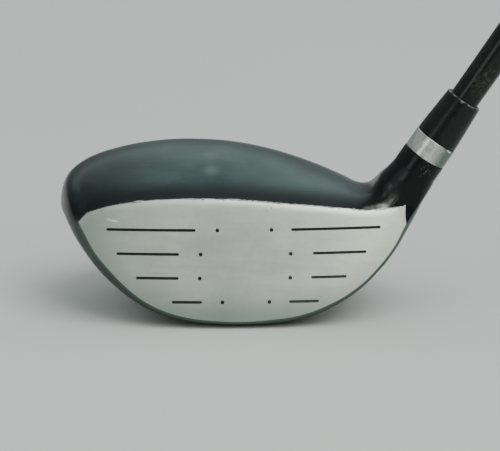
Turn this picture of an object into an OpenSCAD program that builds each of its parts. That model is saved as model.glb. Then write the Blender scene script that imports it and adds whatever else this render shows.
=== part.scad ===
// Fairway wood, right-handed, soled at address.
// Origin: the point of the sole that rests on the ground. +X to the heel, -X to
// the toe, -Y the way the face looks, +Z up. All sizes in millimetres.

/* [Face] */
// Loft of the face at its centre, degrees back from upright
loft = 15.5; // [14:0.5:17]
// Bulge radius of the face, heel to toe
bulge_r = 320; // [260:10:400]
// Roll radius of the face, top to bottom
roll_r = 300; // [240:10:400]
// Thickness of the face plate
face_wall = 2.4; // [2.2:0.1:3]
// Thickness of the face plate at its heel end
face_end = 0.9; // [0.8:0.1:1.4]
// Width of a score line
line_w = 0.8; // [0.5:0.05:0.9]
// Diameter of a score dot
dot_d = 1.15; // [0.9:0.05:1.4]
// Depth of the lines and dots
mark_depth = 0.3; // [0.2:0.05:0.4]
// Vertical distance between two rows of marks
row_pitch = 6.8; // [6.4:0.1:7]

/* [Head] */
// Thickness of the crown, skirt and neck shell
crown_wall = 0.9; // [0.8:0.1:1.2]
// Thickness of the sole plate
sole_wall = 1.3; // [1.2:0.1:2]
// Radius of the hosel tube inside the head
tube_r = 4.95; // [4.9:0.05:5.3]
// Radius of the neck where it becomes round
neck_r = 6.7; // [6.6:0.05:6.8]
// Length of the round part of the neck below the ring
neck_len = 4.8; // [3:0.1:5]

/* [Ring and ferrule] */
// Length of the trim ring
ring_len = 6.2; // [4:0.1:8]
// Radius of the trim ring
ring_r = 6.55; // [6.4:0.05:6.7]
// Length of the ferrule
ferrule_len = 14.5; // [10:0.1:25]
// Radius of the ferrule at its lower end
ferrule_r0 = 6.4; // [6.2:0.05:6.6]
// Radius of the ferrule at its upper end
ferrule_r1 = 5.5; // [5:0.05:5.8]

/* [Shaft] */
// Length of the whole club along the shaft, from the ground to the grip's end
club_len = 1092; // [1016:1:1118]
// Radius of the shaft at its tip
tip_r = 4.4; // [4.25:0.05:4.45]
// Radius of the shaft at its butt
butt_r = 7.6; // [7.2:0.05:7.8]
// How far the shaft reaches into the hosel
shaft_depth = 31.5; // [28:0.5:32]
// Radial gap that the glue fills
glue_gap = 0.1; // [0.05:0.01:0.15]

/* [Grip] */
// Length of the grip's rubber sleeve
grip_len = 264; // [240:1:280]
// Radius of the grip at its lower end
grip_r0 = 9; // [8.8:0.1:10]
// Radius of the grip just under its cap
grip_r1 = 13.2; // [12.5:0.1:14.5]
// Radius of the grip's cap
cap_r = 15.2; // [14.8:0.1:16]
// Radius of the vent hole in the cap
vent_r = 1.5; // [1:0.1:2]

/* [Hidden] */

// Shaft axis: leaves the ground at X = axis_x, Y = axis_y, leaning to +X at the lie angle
lie = 55.5;
axis_x = 20.66;
axis_y = -2;

// ---- head sections ---------------------------------------------------------
// The head's skin is lofted through flat sections. Station s is the section's X
// in millimetres up to fan_a; from there the section planes begin to fan, and
// beyond fan_b they turn about the line through (fan_x, fan_z) parallel to Y, two
// degrees for each unit of s, until they stand square to the shaft at s_neck.
// Within a section a point is (y, h), h being the height measured down from the
// fan line.
s_toe = -54.9;
s_corner = -48.8;
s_heel = 48.7;
fan_a = 24;
fan_b = 42;
fan_x = (fan_a + fan_b) / 2;
fan_z = 56;
s_neck = fan_x + lie / 2;
shear_heel = 1.37;
shear_toe = 2.7;

// Height of the shaft axis in the last section
neck_h = fan_z - (fan_z * cos(lie) - (fan_x - axis_x) * sin(lie));
// Distance along the shaft axis from the ground to the last section
neck_t = (fan_x - axis_x) * cos(lie) + fan_z * sin(lie);

// Key curves, each a short table of [station, value], all chosen by eye in tenths
// T topline, B lower edge of the face, K ridge of the crown, R widest rim at the
// back, S lowest line of the sole
T_h = key([[-54.9, 31], [-53.8, 31], [-51.5, 30.7], [-48.8, 30.2], [-47, 31.9], [-42, 34], [-36, 35.3],
    [-28, 36.35], [-18, 36.9], [-8, 36.85], [2, 36.35], [12, 35.45], [18, 34.9], [24, 34.3],
    [30, 33.65], [36, 32.85], [42, 31.85], [46, 31], [50.07, 29.75], [54, 30.2],
    [60.75, neck_h - neck_r * sin(15)]]);
B_h = key([[-48.8, 30.2], [-47.1, 27.1], [-44, 21.7], [-40, 17], [-36, 13], [-30, 8.3], [-24, 5.4],
    [-16, 3.3], [-8, 2.45], [0, 2.25], [8, 2.75], [16, 3.8], [24, 6.35], [30, 9.45], [34, 12.65],
    [38, 16.7], [42, 20.5], [47.33, 25.1], [52, 27], [60.75, neck_h - neck_r * sin(60)]]);
nose_y = key([[-54.9, 14], [-53.8, 4.5], [-51.5, -3.2], [-48.8, -8.4]]);
T_y = key([[50.07, -7.3], [54, -8.3], [57.5, -8.55], [60.75, axis_y - neck_r * cos(15)]]);
B_y = key([[47.33, -8.97], [50, -8.3], [54, -7], [60.75, axis_y - neck_r * cos(60)]]);
K_y = key([[-54.9, 14], [-51, 15], [-45, 18], [-30, 21], [-15, 22], [0, 21], [15, 18.5], [25, 14],
    [33, 8.5], [38, 4.5], [42, 2], [46, 0], [50, -1.2], [54, -1.8], [60.75, axis_y]]);
K_h = key([[-54.9, 31], [-53, 38.6], [-50, 41.4], [-45, 43.6], [-38, 45.3], [-30, 46.5], [-15, 47],
    [0, 45.6], [12, 42.9], [22, 40], [30, 37.4], [35, 36], [39, 36.5], [43, 38.4], [47, 40],
    [52, 40.8], [60.75, neck_h + neck_r]]);
R_y = key([[-54.9, 14], [-53, 25], [-50, 32], [-45, 40], [-38, 47], [-28, 53.5], [-15, 58], [-3, 59.5],
    [12, 57], [22, 52], [30, 45.5], [34, 40.5], [38, 34], [42, 27], [46, 20], [50, 14], [54, 9],
    [58, 5.6], [60.75, axis_y + neck_r]]);
R_h = key([[-54.9, 31], [-52, 29.8], [-48, 27.5], [-40, 24], [-30, 21], [-15, 18.5], [0, 17.5], [15, 18],
    [30, 20], [34, 21], [38, 22.4], [42, 24.4], [46, 26.6], [50, 29], [54, 31.4], [58, 33.6],
    [60.75, neck_h]]);
S_y = key([[-54.9, 14], [-50, 9], [-40, 5], [-30, 3], [-15, 1], [0, 0], [30, 0], [38, -1], [46, -2],
    [60.75, axis_y]]);
S_h = key([[-54.9, 31], [-53, 27.9], [-50, 22.6], [-45, 15.9], [-38, 9.3], [-30, 4.3], [-20, 1.1],
    [-10, 0], [0, -0.15], [10, 0.05], [18, 1.4], [24, 3.4], [30, 6.7], [34, 10], [38, 14.1],
    [42, 18], [46, 21.6], [50, 24.3], [54, 26.4], [60.75, neck_h - neck_r]]);
// Angle at which the crown leaves the topline
T_a = key([[-54.9, 90], [-53, 88], [-51, 80], [-48.8, 64], [-45, 44], [-40, 32], [-30, 26], [-15, 24],
    [15, 24], [30, 26], [36, 34], [40, 50], [43, 70], [46, 86], [50, 102], [54, 106], [60.75, 105]]);

// Angle at which the sole leaves the face's lower edge
B_a = key([[-54.9, 90], [-51.5, 86], [-48.8, 74], [-45, 64], [-40, 59], [-30, 58], [30, 58], [38, 52],
    [46, 42], [54, 33], [60.75, 30]]);
// Height of the line where the painted shell meets the sole plate
W_h = key([[-54.9, 28], [-51.5, 25.3], [-45, 22], [-35, 18.5], [-20, 14.5], [-5, 12.5], [10, 13.5],
    [22, 16], [30, 17.8], [36, 18.6], [40, 19.2], [44, 20.6], [47, 22.5], [50, 24.8], [54, 27],
    [60.75, 29.2]]);

// Columns round a section: T to K, K to R, R to S, S to B, then the face from B to T
nT = 8; nK = 11; nR = 11; nS = 6; nF = 8;
jK = nT; jR = nT + nK; jS = jR + nR; jB = jS + nS; nC = jB + nF;
// Column of the line where the painted shell meets the sole plate
nW = 5;
jW = jR + nW;

// Stations
iC = 6;
stations = concat(
    [for (i = [0:iC - 1]) s_toe + pow(sqrt(s_corner - s_toe) * i / iC, 2)],
    [for (i = [0:2]) s_toe + pow(sqrt(s_corner - s_toe) + (sqrt(-42 - s_toe) - sqrt(s_corner - s_toe)) * i / 3, 2)],
    [for (s = [-42:3.5:17.5]) s],
    [for (i = [0:10]) 20.5 + (s_heel - 20.5) * i / 11],
    [for (i = [0:8]) s_heel + (s_neck - s_heel) * i / 8]);
nI = len(stations);
iE = nI - 9;

function mkey(s) = sqrt(max(0, s - s_toe));
function key(t) = [for (p = t) [mkey(p[0]), p[1]]];
function seg(t, x, i = 0) = (i >= len(t) - 2 || x < t[i + 1][0]) ? i : seg(t, x, i + 1);
function rise(t, k) = (t[k + 1][1] - t[k][1]) / (t[k + 1][0] - t[k][0]);
function slope(t, k) = k == 0 ? rise(t, 0) : k == len(t) - 1 ? rise(t, k - 1)
    : let (ha = t[k][0] - t[k - 1][0], hb = t[k + 1][0] - t[k][0])
      (rise(t, k - 1) * hb + rise(t, k) * ha) / (ha + hb);
function herm(v0, v1, m0, m1, h, u) = (2 * u * u * u - 3 * u * u + 1) * v0 + (u * u * u - 2 * u * u + u) * h * m0
    + (3 * u * u - 2 * u * u * u) * v1 + (u * u * u - u * u) * h * m1;
function at(t, s) = let (x = mkey(s))
    x <= t[0][0] ? t[0][1] : x >= t[len(t) - 1][0] ? t[len(t) - 1][1]
    : let (i = seg(t, x), h = t[i + 1][0] - t[i][0])
      herm(t[i][1], t[i + 1][1], slope(t, i), slope(t, i + 1), h, (x - t[i][0]) / h);
function ease(t) = let (u = min(1, max(0, t))) u * u * (3 - 2 * u);
function bez(p, q, r, s, t) = let (u = 1 - t)
    u * u * u * p + 3 * u * u * t * q + 3 * u * t * t * r + t * t * t * s;
function mix(a, b, t) = a + (b - a) * t;

// The face's surface, and how it rounds off just below the topline
function face_y(x, z) = -15.3 + (z - 19.5) * tan(loft) + x * x / (2 * bulge_r) + pow(z - 19.5, 2) / (2 * roll_r);
function face_in(x, z) = let (v = [-x / bulge_r, 1, -tan(loft) - (z - 19.5) / roll_r]) v / norm(v);
function soft_edge(d) = 0.55 * pow(max(0, 1 - d / 1.9), 2);
function soft_here(s) = ease((s - s_corner) / 3) * (1 - ease((s - 45) / 5));

function slide(s) = s <= fan_a ? s : s >= fan_b ? fan_x
    : let (w = fan_b - fan_a, u = (s - fan_a) / w) s - w * (u * u * u - u * u * u * u / 2);
function place(s, p) = let (x = slide(s), a = 2 * (s - x))
    [x + (fan_z - p[1]) * sin(a), p[0], fan_z - (fan_z - p[1]) * cos(a)];
function on_face(s, h) = let (p = place(s, [0, h])) face_y(p[0], p[2]);
function necked(s) = ease((s - 30) / (s_neck - 30));

function ptT(s) = let (h = at(T_h, s))
    [s < s_corner ? at(nose_y, s) : s <= 50.07 ? on_face(s, h) + soft_edge(0) * soft_here(s) : at(T_y, s), h];
function ptB(s) = s < s_corner ? ptT(s) : let (h = at(B_h, s)) [s <= 47.33 ? on_face(s, h) : at(B_y, s), h];
function ptK(s) = [at(K_y, s), at(K_h, s)];
function ptR(s) = [at(R_y, s), at(R_h, s)];
function ptS(s) = [at(S_y, s), at(S_h, s)];

function arcT(s, t) = let (T = ptT(s), K = ptK(s), a = at(T_a, s), n = necked(s), w = K[0] - T[0],
    f = 0.6575 * neck_r * n + 8 * n * (1 - n), // fuller where the hosel tube passes
    p = max(0.1, (1 - n) * 0.36 * w + f), q = max(0.1, (1 - n) * 0.42 * w + f))
    bez(T, T + p * [cos(a), sin(a)], K - [q, 0], K, t);
function arcK(s, t) = let (K = ptK(s), R = ptR(s))
    bez(K, K + [0.58 * (R[0] - K[0]), 0], R + [0, 0.56 * (K[1] - R[1])], R, t);
function arcR(s, t) = let (R = ptR(s), S = ptS(s))
    bez(R, R - [0, 0.55 * (R[1] - S[1])], S + [0.55 * (R[0] - S[0]), 0], S, t);
function arcS(s, t) = let (S = ptS(s), B = ptB(s), n = necked(s), e = at(B_a, s),
    p = (1 - n) * (B[1] - S[1]) / sin(e) + n * 0.1755 * neck_r,
    q = max(0.1, (1 - n) * 0.62 * (S[0] - B[0]) + n * 0.1755 * neck_r))
    bez(S, S - [q, 0], B + p * [cos(e), -sin(e)], B, t);
function arcF(s, t) = s < s_corner ? ptT(s)
    : let (B = ptB(s), T = ptT(s), h = mix(B[1], T[1], t), f = on_face(s, h) + soft_edge(T[1] - h) * soft_here(s),
        w = ease((s - s_heel) / (s_neck - s_heel)))
      w <= 0 ? [f, h]
    : let (eB = B[0] - on_face(s, B[1]), eT = T[0] - on_face(s, T[1]) - soft_edge(0) * soft_here(s),
        k = 0.2652 * neck_r, a = at(T_a, s))
      mix([f + mix(eB, eT, t), h],
          bez(B, B + k * [-sin(60), cos(60)], T - k * [cos(a), sin(a)], T, t), w);

// Columns as [arc, parameter], and how much each station line leans along them
cols = concat([for (i = [0:nT - 1]) [0, i / nT]], [for (i = [0:nK - 1]) [1, i / nK]],
    [for (i = [0:nR - 1]) [2, i / nR]], [for (i = [0:nS - 1]) [3, i / nS]], [for (i = [0:nF - 1]) [4, i / nF]]);
function lean_heel(c) = c[0] <= 1 ? 1 : c[0] == 2 ? 1 - 2 * ease(c[1] * nR / nW) : c[0] == 3 ? -1 : 2 * c[1] - 1;
function lean_toe(c) = c[0] == 2 ? ease(c[1] * nR / nW) : c[0] == 3 ? 1 - ease(c[1]) : 0;
function heel_amount(s) = shear_heel * (s < s_heel ? ease((s - 20) / (s_heel - 20)) : 1 - ease((s - s_heel) / (s_neck - s_heel)));
function toe_amount(s) = shear_toe * (s < s_corner ? ease((s - s_toe) / (s_corner - s_toe)) : 1 - ease((s - s_corner) / 11));
function arc(k, s, t) = k == 0 ? arcT(s, t) : k == 1 ? arcK(s, t) : k == 2 ? arcR(s, t) : k == 3 ? arcS(s, t) : arcF(s, t);
// Parameter at which the back arc crosses the paint line
function cross_w(w, a = 0, b = 1, n = 14) = let (m = (a + b) / 2, u = 1 - m) n == 0 ? m
    : 1 - u * u * u - 1.35 * u * u * m < w ? cross_w(w, m, b, n - 1) : cross_w(w, a, m, n - 1);
function split(c, s) = c[0] != 2 ? c[1]
    : let (R = at(R_h, s), S = at(S_h, s), f = nW / nR, t = c[1],
        w = cross_w(min(0.93, max(0.1, (R - at(W_h, s)) / max(0.01, R - S)))))
      t < f ? t / f * w : w + (t - f) / (1 - f) * (1 - w);
// The sole is ground flat where it would pass below the ground
function grounded(p) = [p[0], p[1], max(0, p[2])];
function skin(sb, c) = let (s = min(s_neck, max(s_toe, sb + heel_amount(sb) * lean_heel(c) - toe_amount(sb) * lean_toe(c))))
    grounded(place(s, arc(c[0], s, split(c, s))));

// ---- thick patches cut from the skin ---------------------------------------
// vid folds the points that coincide: the toe's pole, and the face columns
// ahead of the corner where the face begins
function vid(i, j) = i == 0 ? 0 : let (k = (j + nC) % nC) (i <= iC && k >= jB) ? i * nC : i * nC + k;
// what: 0 painted shell, 1 face plate, 2 sole plate, 3 rear weight, 4 heel pad
function has(what, i, j) = let (k = (j + nC) % nC)
    (i < 0 || i >= nI - 1) ? false
    : what == 1 ? (i >= iC && i < iE && k >= jB)
    : what == 2 ? (i >= iC && i < iE && k >= jW && k < jB)
    : what == 3 ? (i >= iC + 11 && i < iC + 17 && k >= jW + 2 && k < jW + 4)
    : what == 4 ? (i >= iC + 22 && i < iC + 25 && k >= jS - 1 && k < jS + 2)
    : i < iC ? k < jB : i < iE ? k < jW : true;
function tri(a, b, c) = (a == b || b == c || a == c) ? [] : [[a, b, c]];
function quad(a, b, c, d) = concat(tri(a, b, c), tri(a, c, d));
function wall(a, b, n) = a == b ? [] : quad(a, a + n, b + n, b);
function out_dir(G, i, j) = let (
    a = G[min(nI - 1, i + 1) * nC + j] - G[max(0, i - 1) * nC + j],
    b = G[i * nC + (j + 1) % nC] - G[i * nC + (j + nC - 1) % nC],
    v = cross(a, b)) i == 0 ? [-1, 0, 0] : norm(v) < 1e-9 ? [0, 0, 0] : v / norm(v);
// The face plate thins towards the heel, where the hosel passes close behind it
function face_t(s) = mix(face_wall, min(face_wall, face_end), ease((s - 26) / 14));

// A closed piece of skin, from depth t0 to depth t under the surface
module patch(what, t, edge_t, t0 = 0) {
    G = [for (i = [0:nI - 1]) for (j = [0:nC - 1]) skin(stations[i], cols[j])];
    sgn = out_dir(G, iC + 10, jK)[2] > 0 ? 1 : -1;
    outer = t0 == 0 ? G : [for (i = [0:nI - 1]) for (j = [0:nC - 1]) G[i * nC + j] - t0 * sgn * out_dir(G, i, j)];
    inner = [for (i = [0:nI - 1]) for (j = [0:nC - 1]) let (p = G[i * nC + j], f = face_in(p[0], p[2]))
        what == 1 ? p + face_t(stations[i]) * f
        : (what < 3 && i >= iC && i <= iE && (j == 0 || j == jB)) ? p + min(edge_t, face_t(stations[i])) * f
        : (what < 3 && i == iE && j > jB) ? p + face_t(stations[i]) * f
        : p - t * sgn * out_dir(G, i, j)];
    n = nI * nC;
    fo = [for (i = [0:nI - 2]) for (j = [0:nC - 1]) if (has(what, i, j))
        each quad(vid(i, j), vid(i + 1, j), vid(i + 1, j + 1), vid(i, j + 1))];
    side = [for (i = [0:nI - 2]) for (j = [0:nC - 1]) if (has(what, i, j)) each concat(
        has(what, i, j - 1) || (i < iC && j == 0) ? [] : wall(vid(i, j), vid(i + 1, j), n),
        has(what, i, j + 1) || (i < iC && j == jB - 1) ? [] : wall(vid(i + 1, j + 1), vid(i, j + 1), n),
        has(what, i - 1, j) || i == 0 ? [] : wall(vid(i, j + 1), vid(i, j), n),
        has(what, i + 1, j) ? [] : wall(vid(i + 1, j), vid(i + 1, j + 1), n))];
    fi = [for (f = fo) [f[2] + n, f[1] + n, f[0] + n]];
    F = concat(fo, fi, side);
    polyhedron(points = concat(outer, inner), faces = sgn > 0 ? [for (f = F) [f[2], f[1], f[0]]] : F, convexity = 8);
}

// A thin bar that follows the face at height z from x0 to x1
module face_bar(x0, x1, z, w, deep, proud) {
    n = max(1, ceil(abs(x1 - x0) / 6));
    P = [for (i = [0:n]) let (x = mix(x0, x1, i / n)) each [
        [x, face_y(x, z - w / 2) - proud, z - w / 2], [x, face_y(x, z + w / 2) - proud, z + w / 2],
        [x, face_y(x, z + w / 2) + deep, z + w / 2], [x, face_y(x, z - w / 2) + deep, z - w / 2]]];
    polyhedron(points = P, faces = concat([[3, 2, 1, 0]], [[4 * n, 4 * n + 1, 4 * n + 2, 4 * n + 3]],
        [for (i = [0:n - 1]) for (k = [0:3]) let (a = 4 * i + k, b = 4 * i + (k + 1) % 4) each [[b + 4, a + 4, a], [b, b + 4, a]]]));
}
// Rows of marks from the top: [line on the toe side from, to, line on the heel side
// from, to, dot on the toe side, dot on the heel side]
marks = [[-40.5, -14.2, 13.9, 40.3, -7.8, 8.1], [-37.6, -19.1, 20.2, 36, -12.8, 13.7],
    [-31.9, -19.3, 19.6, 30.1, -13.1, 13.5], [-21.4, -12.5, 13.1, 21.9, -6.5, 7.3]];
function row_z(i) = 28.25 - i * row_pitch;
module lines(deep, proud) {
    for (i = [0:3]) for (k = [0, 2])
        face_bar(marks[i][k], marks[i][k + 1], row_z(i), line_w, deep, proud);
}
module dots(deep, proud) {
    for (i = [0:3]) for (k = [4, 5]) let (x = marks[i][k], z = row_z(i))
        translate([x, face_y(x, z), z]) rotate([90 - loft, 0, 0])
            translate([0, 0, -deep]) cylinder(r = dot_d / 2, h = deep + proud, $fn = 24);
}

// ---- everything on the shaft axis ------------------------------------------
module on_axis(t = 0) { translate([axis_x, axis_y, 0]) rotate([0, 90 - lie, 0]) translate([0, 0, t]) children(); }

t_bore = neck_t + neck_len - shaft_depth;
t_ring = neck_t + neck_len;
t_ferrule = t_ring + ring_len;
t_free = t_ferrule + ferrule_len;
t_grip = club_len - 4 - grip_len;
// The shaft is straight through the hosel, tapers, and is straight again under the grip
function shaft_r(t) = t < t_free ? tip_r : t > t_grip + 60 ? butt_r : mix(tip_r, butt_r, (t - t_free) / (t_grip + 60 - t_free));
function bore_r(t) = shaft_r(t) - mix(1.7, 0.85, min(1, max(0, (t - t_free) / (t_grip - t_free))));

module head_body() { color([0.16, 0.19, 0.2]) patch(0, crown_wall, 1.66 * crown_wall); }
module face_plate() {
    color([0.72, 0.73, 0.72]) difference() {
        patch(1, face_wall, face_wall);
        lines(mark_depth, 0.6);
        dots(mark_depth, 0.6);
    }
}
module sole_plate() { color([0.66, 0.67, 0.66]) patch(2, sole_wall, 1.25 * sole_wall); }
module score_line_fill() { color([0.05, 0.05, 0.05]) lines(mark_depth, -0.06); }
module score_dot_fill() { color([0.05, 0.05, 0.05]) dots(mark_depth, -0.06); }
module hosel_tube() {
    color([0.55, 0.55, 0.56]) difference() {
        on_axis() rotate_extrude($fn = 96) polygon([
            [0, t_bore - 2.5], [tube_r - 1, t_bore - 2.5], [tube_r, t_bore - 1.5], [tube_r, neck_t], [neck_r, neck_t],
            [neck_r, t_ring], [tip_r + glue_gap, t_ring], [tip_r + glue_gap, t_bore], [0, t_bore]]);
        // flat where the face plate passes
        on_axis(30) translate([-10, -tip_r - glue_gap - 5.12, 0]) cube([20, 5, 18]);
    }
}
module hosel_ring() {
    color([0.75, 0.75, 0.74]) on_axis() rotate_extrude($fn = 96) polygon([
        [tip_r + glue_gap, t_ring], [ring_r - 0.25, t_ring], [ring_r, t_ring + 0.25], [ring_r, t_ferrule - 0.25],
        [ring_r - 0.25, t_ferrule], [tip_r + glue_gap, t_ferrule]]);
}
module ferrule() {
    color([0.05, 0.06, 0.06]) on_axis() rotate_extrude($fn = 96) polygon([
        [tip_r + 0.05, t_ferrule], [ferrule_r0 - 0.2, t_ferrule], [ferrule_r0, t_ferrule + 0.2],
        [ferrule_r1, t_free - 0.3], [ferrule_r1 - 0.3, t_free], [tip_r + 0.05, t_free]]);
}
module shaft() {
    color([0.07, 0.09, 0.09]) on_axis() rotate_extrude($fn = 96) polygon(concat(
        [[bore_r(t_bore), t_bore], [shaft_r(t_bore), t_bore], [tip_r, t_free], [butt_r, t_grip + 60], [butt_r, club_len - 4]],
        [[bore_r(club_len), club_len - 4], [bore_r(t_grip), t_grip], [bore_r(t_free), t_free]]));
}
module shaft_epoxy() {
    color([0.75, 0.7, 0.5]) on_axis(t_bore) difference() {
        cylinder(r = tip_r + glue_gap, h = shaft_depth, $fn = 96);
        translate([0, 0, -1]) cylinder(r = tip_r, h = shaft_depth + 2, $fn = 96);
    }
}
module tip_weight() {
    color([0.8, 0.65, 0.3]) on_axis(t_bore) union() {
        cylinder(r = bore_r(t_bore) - 0.05, h = 14, $fn = 48);
    }
}
// Bonded to the inside of the sole plate, towards the heel and at the back
module rattle_pad() { color([0.85, 0.8, 0.6]) patch(4, sole_wall + 2, 0, sole_wall); }
module rear_weight() { color([0.5, 0.5, 0.5]) patch(3, sole_wall + 3, 0, sole_wall); }
module grip_tape() {
    color([0.9, 0.88, 0.8]) on_axis(t_grip + 60) difference() {
        cylinder(r = butt_r + 0.25, h = grip_len - 60, $fn = 96);
        translate([0, 0, -1]) cylinder(r = butt_r, h = grip_len, $fn = 96);
    }
}
module grip() {
    color([0.08, 0.08, 0.08]) on_axis() rotate_extrude($fn = 96) polygon([
        [shaft_r(t_grip), t_grip], [grip_r0 - 0.6, t_grip], [grip_r0, t_grip + 1], [grip_r1, club_len - 12],
        [cap_r - 0.4, club_len - 6.5], [cap_r, club_len - 4], [butt_r + 0.25, club_len - 4],
        [butt_r + 0.25, t_grip + 60], [butt_r, t_grip + 60]]);
}
module grip_cap() {
    color([0.06, 0.06, 0.06]) on_axis(club_len - 4) difference() {
        rotate_extrude($fn = 96) polygon([[0, 0], [cap_r, 0], [cap_r, 1.2], [cap_r - 1.8, 3.2], [cap_r - 4.5, 4], [0, 4]]);
        translate([0, 0, -1]) cylinder(r = vent_r, h = 6, $fn = 48);
    }
}

head_body();
face_plate();
sole_plate();
score_line_fill();
score_dot_fill();
hosel_tube();
hosel_ring();
ferrule();
shaft();
shaft_epoxy();
tip_weight();
rattle_pad();
rear_weight();
grip_tape();
grip();
grip_cap();
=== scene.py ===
import math
import bpy
import numpy as np
from mathutils import Matrix, Vector


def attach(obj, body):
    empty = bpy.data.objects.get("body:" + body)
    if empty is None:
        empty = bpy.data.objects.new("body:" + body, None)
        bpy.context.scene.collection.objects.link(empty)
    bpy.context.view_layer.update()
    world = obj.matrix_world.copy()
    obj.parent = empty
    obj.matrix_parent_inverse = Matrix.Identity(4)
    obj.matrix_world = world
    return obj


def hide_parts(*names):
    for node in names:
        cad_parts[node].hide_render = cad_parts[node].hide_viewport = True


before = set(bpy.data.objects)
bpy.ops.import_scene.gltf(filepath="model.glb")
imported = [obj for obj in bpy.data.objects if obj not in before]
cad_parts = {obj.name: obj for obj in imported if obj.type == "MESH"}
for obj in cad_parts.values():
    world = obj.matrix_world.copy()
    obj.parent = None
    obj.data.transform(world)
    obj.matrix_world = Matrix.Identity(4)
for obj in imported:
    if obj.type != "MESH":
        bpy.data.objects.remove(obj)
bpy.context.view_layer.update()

MM = 0.001
D2R = math.pi / 180

# ---------------------------------------------------------------- head surface
LOFT = math.tan(15.5 * D2R)
LIE, AX, AY, RN = 55.5 * D2R, 20.66, -2.0, 6.7
S0, SC, SH, S1 = -54.9, -48.8, 48.7, 33 + 55.5 / 2
FA, FB, FZ = 24.0, 42.0, 56.0
NH = FZ - (FZ * math.cos(LIE) - (33 - AX) * math.sin(LIE))
NT = (33 - AX) * math.cos(LIE) + FZ * math.sin(LIE)
T_RING, T_FER, T_FREE, CLUB = NT + 4.8, NT + 11.0, NT + 25.5, 1092.0
sn, cs = (lambda a: math.sin(a * D2R)), (lambda a: math.cos(a * D2R))


class Curve:
    def __init__(self, pts):
        self.x = np.sqrt(np.maximum(0, np.array([p[0] for p in pts]) - S0))
        self.v = np.array([p[1] for p in pts], float)
        r = np.diff(self.v) / np.diff(self.x)
        h = np.diff(self.x)
        self.m = np.concatenate([[r[0]], (r[:-1] * h[1:] + r[1:] * h[:-1]) / (h[1:] + h[:-1]), [r[-1]]])

    def __call__(self, s):
        x = np.clip(np.sqrt(np.maximum(0, np.asarray(s, float) - S0)), self.x[0], self.x[-1])
        i = np.clip(np.searchsorted(self.x, x, side="right") - 1, 0, len(self.x) - 2)
        h = self.x[i + 1] - self.x[i]
        u = (x - self.x[i]) / h
        return ((2 * u**3 - 3 * u**2 + 1) * self.v[i] + (u**3 - 2 * u**2 + u) * h * self.m[i]
                + (3 * u**2 - 2 * u**3) * self.v[i + 1] + (u**3 - u**2) * h * self.m[i + 1])


Th = Curve([[-54.9, 31], [-53.8, 31], [-51.5, 30.7], [-48.8, 30.2], [-47, 31.9], [-42, 34], [-36, 35.3], [-28, 36.35],
            [-18, 36.9], [-8, 36.85], [2, 36.35], [12, 35.45], [18, 34.9], [24, 34.3], [30, 33.65], [36, 32.85], [42, 31.85],
            [46, 31], [50.07, 29.75], [54, 30.2], [60.75, NH - RN * sn(15)]])
Bh = Curve([[-48.8, 30.2], [-47.1, 27.1], [-44, 21.7], [-40, 17], [-36, 13], [-30, 8.3], [-24, 5.4], [-16, 3.3], [-8, 2.45],
            [0, 2.25], [8, 2.75], [16, 3.8], [24, 6.35], [30, 9.45], [34, 12.65], [38, 16.7], [42, 20.5], [47.33, 25.1],
            [52, 27], [60.75, NH - RN * sn(60)]])
Ny = Curve([[-54.9, 14], [-53.8, 4.5], [-51.5, -3.2], [-48.8, -8.4]])
Ty = Curve([[50.07, -7.3], [54, -8.3], [57.5, -8.55], [60.75, AY - RN * cs(15)]])
By = Curve([[47.33, -8.97], [50, -8.3], [54, -7], [60.75, AY - RN * cs(60)]])
Ky = Curve([[-54.9, 14], [-51, 15], [-45, 18], [-30, 21], [-15, 22], [0, 21], [15, 18.5], [25, 14], [33, 8.5], [38, 4.5],
            [42, 2], [46, 0], [50, -1.2], [54, -1.8], [60.75, AY]])
Kh = Curve([[-54.9, 31], [-53, 38.6], [-50, 41.4], [-45, 43.6], [-38, 45.3], [-30, 46.5], [-15, 47], [0, 45.6], [12, 42.9],
            [22, 40], [30, 37.4], [35, 36], [39, 36.5], [43, 38.4], [47, 40], [52, 40.8], [60.75, NH + RN]])
Ry = Curve([[-54.9, 14], [-53, 25], [-50, 32], [-45, 40], [-38, 47], [-28, 53.5], [-15, 58], [-3, 59.5], [12, 57], [22, 52],
            [30, 45.5], [34, 40.5], [38, 34], [42, 27], [46, 20], [50, 14], [54, 9], [58, 5.6], [60.75, AY + RN]])
Rh = Curve([[-54.9, 31], [-52, 29.8], [-48, 27.5], [-40, 24], [-30, 21], [-15, 18.5], [0, 17.5], [15, 18], [30, 20], [34, 21],
            [38, 22.4], [42, 24.4], [46, 26.6], [50, 29], [54, 31.4], [58, 33.6], [60.75, NH]])
Sy = Curve([[-54.9, 14], [-50, 9], [-40, 5], [-30, 3], [-15, 1], [0, 0], [30, 0], [38, -1], [46, -2], [60.75, AY]])
Sh = Curve([[-54.9, 31], [-53, 27.9], [-50, 22.6], [-45, 15.9], [-38, 9.3], [-30, 4.3], [-20, 1.1], [-10, 0], [0, -0.15],
            [10, 0.05], [18, 1.4], [24, 3.4], [30, 6.7], [34, 10], [38, 14.1], [42, 18], [46, 21.6], [50, 24.3], [54, 26.4],
            [60.75, NH - RN]])
Ta = Curve([[-54.9, 90], [-53, 88], [-51, 80], [-48.8, 64], [-45, 44], [-40, 32], [-30, 26], [-15, 24], [15, 24], [30, 26],
            [36, 34], [40, 50], [43, 70], [46, 86], [50, 102], [54, 106], [60.75, 105]])
Ba = Curve([[-54.9, 90], [-51.5, 86], [-48.8, 74], [-45, 64], [-40, 59], [-30, 58], [30, 58], [38, 52], [46, 42], [54, 33],
            [60.75, 30]])
Wh = Curve([[-54.9, 28], [-51.5, 25.3], [-45, 22], [-35, 18.5], [-20, 14.5], [-5, 12.5], [10, 13.5], [22, 16], [30, 17.8],
            [36, 18.6], [40, 19.2], [44, 20.6], [47, 22.5], [50, 24.8], [54, 27], [60.75, 29.2]])


def ease(t):
    u = np.clip(t, 0, 1)
    return u * u * (3 - 2 * u)


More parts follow.
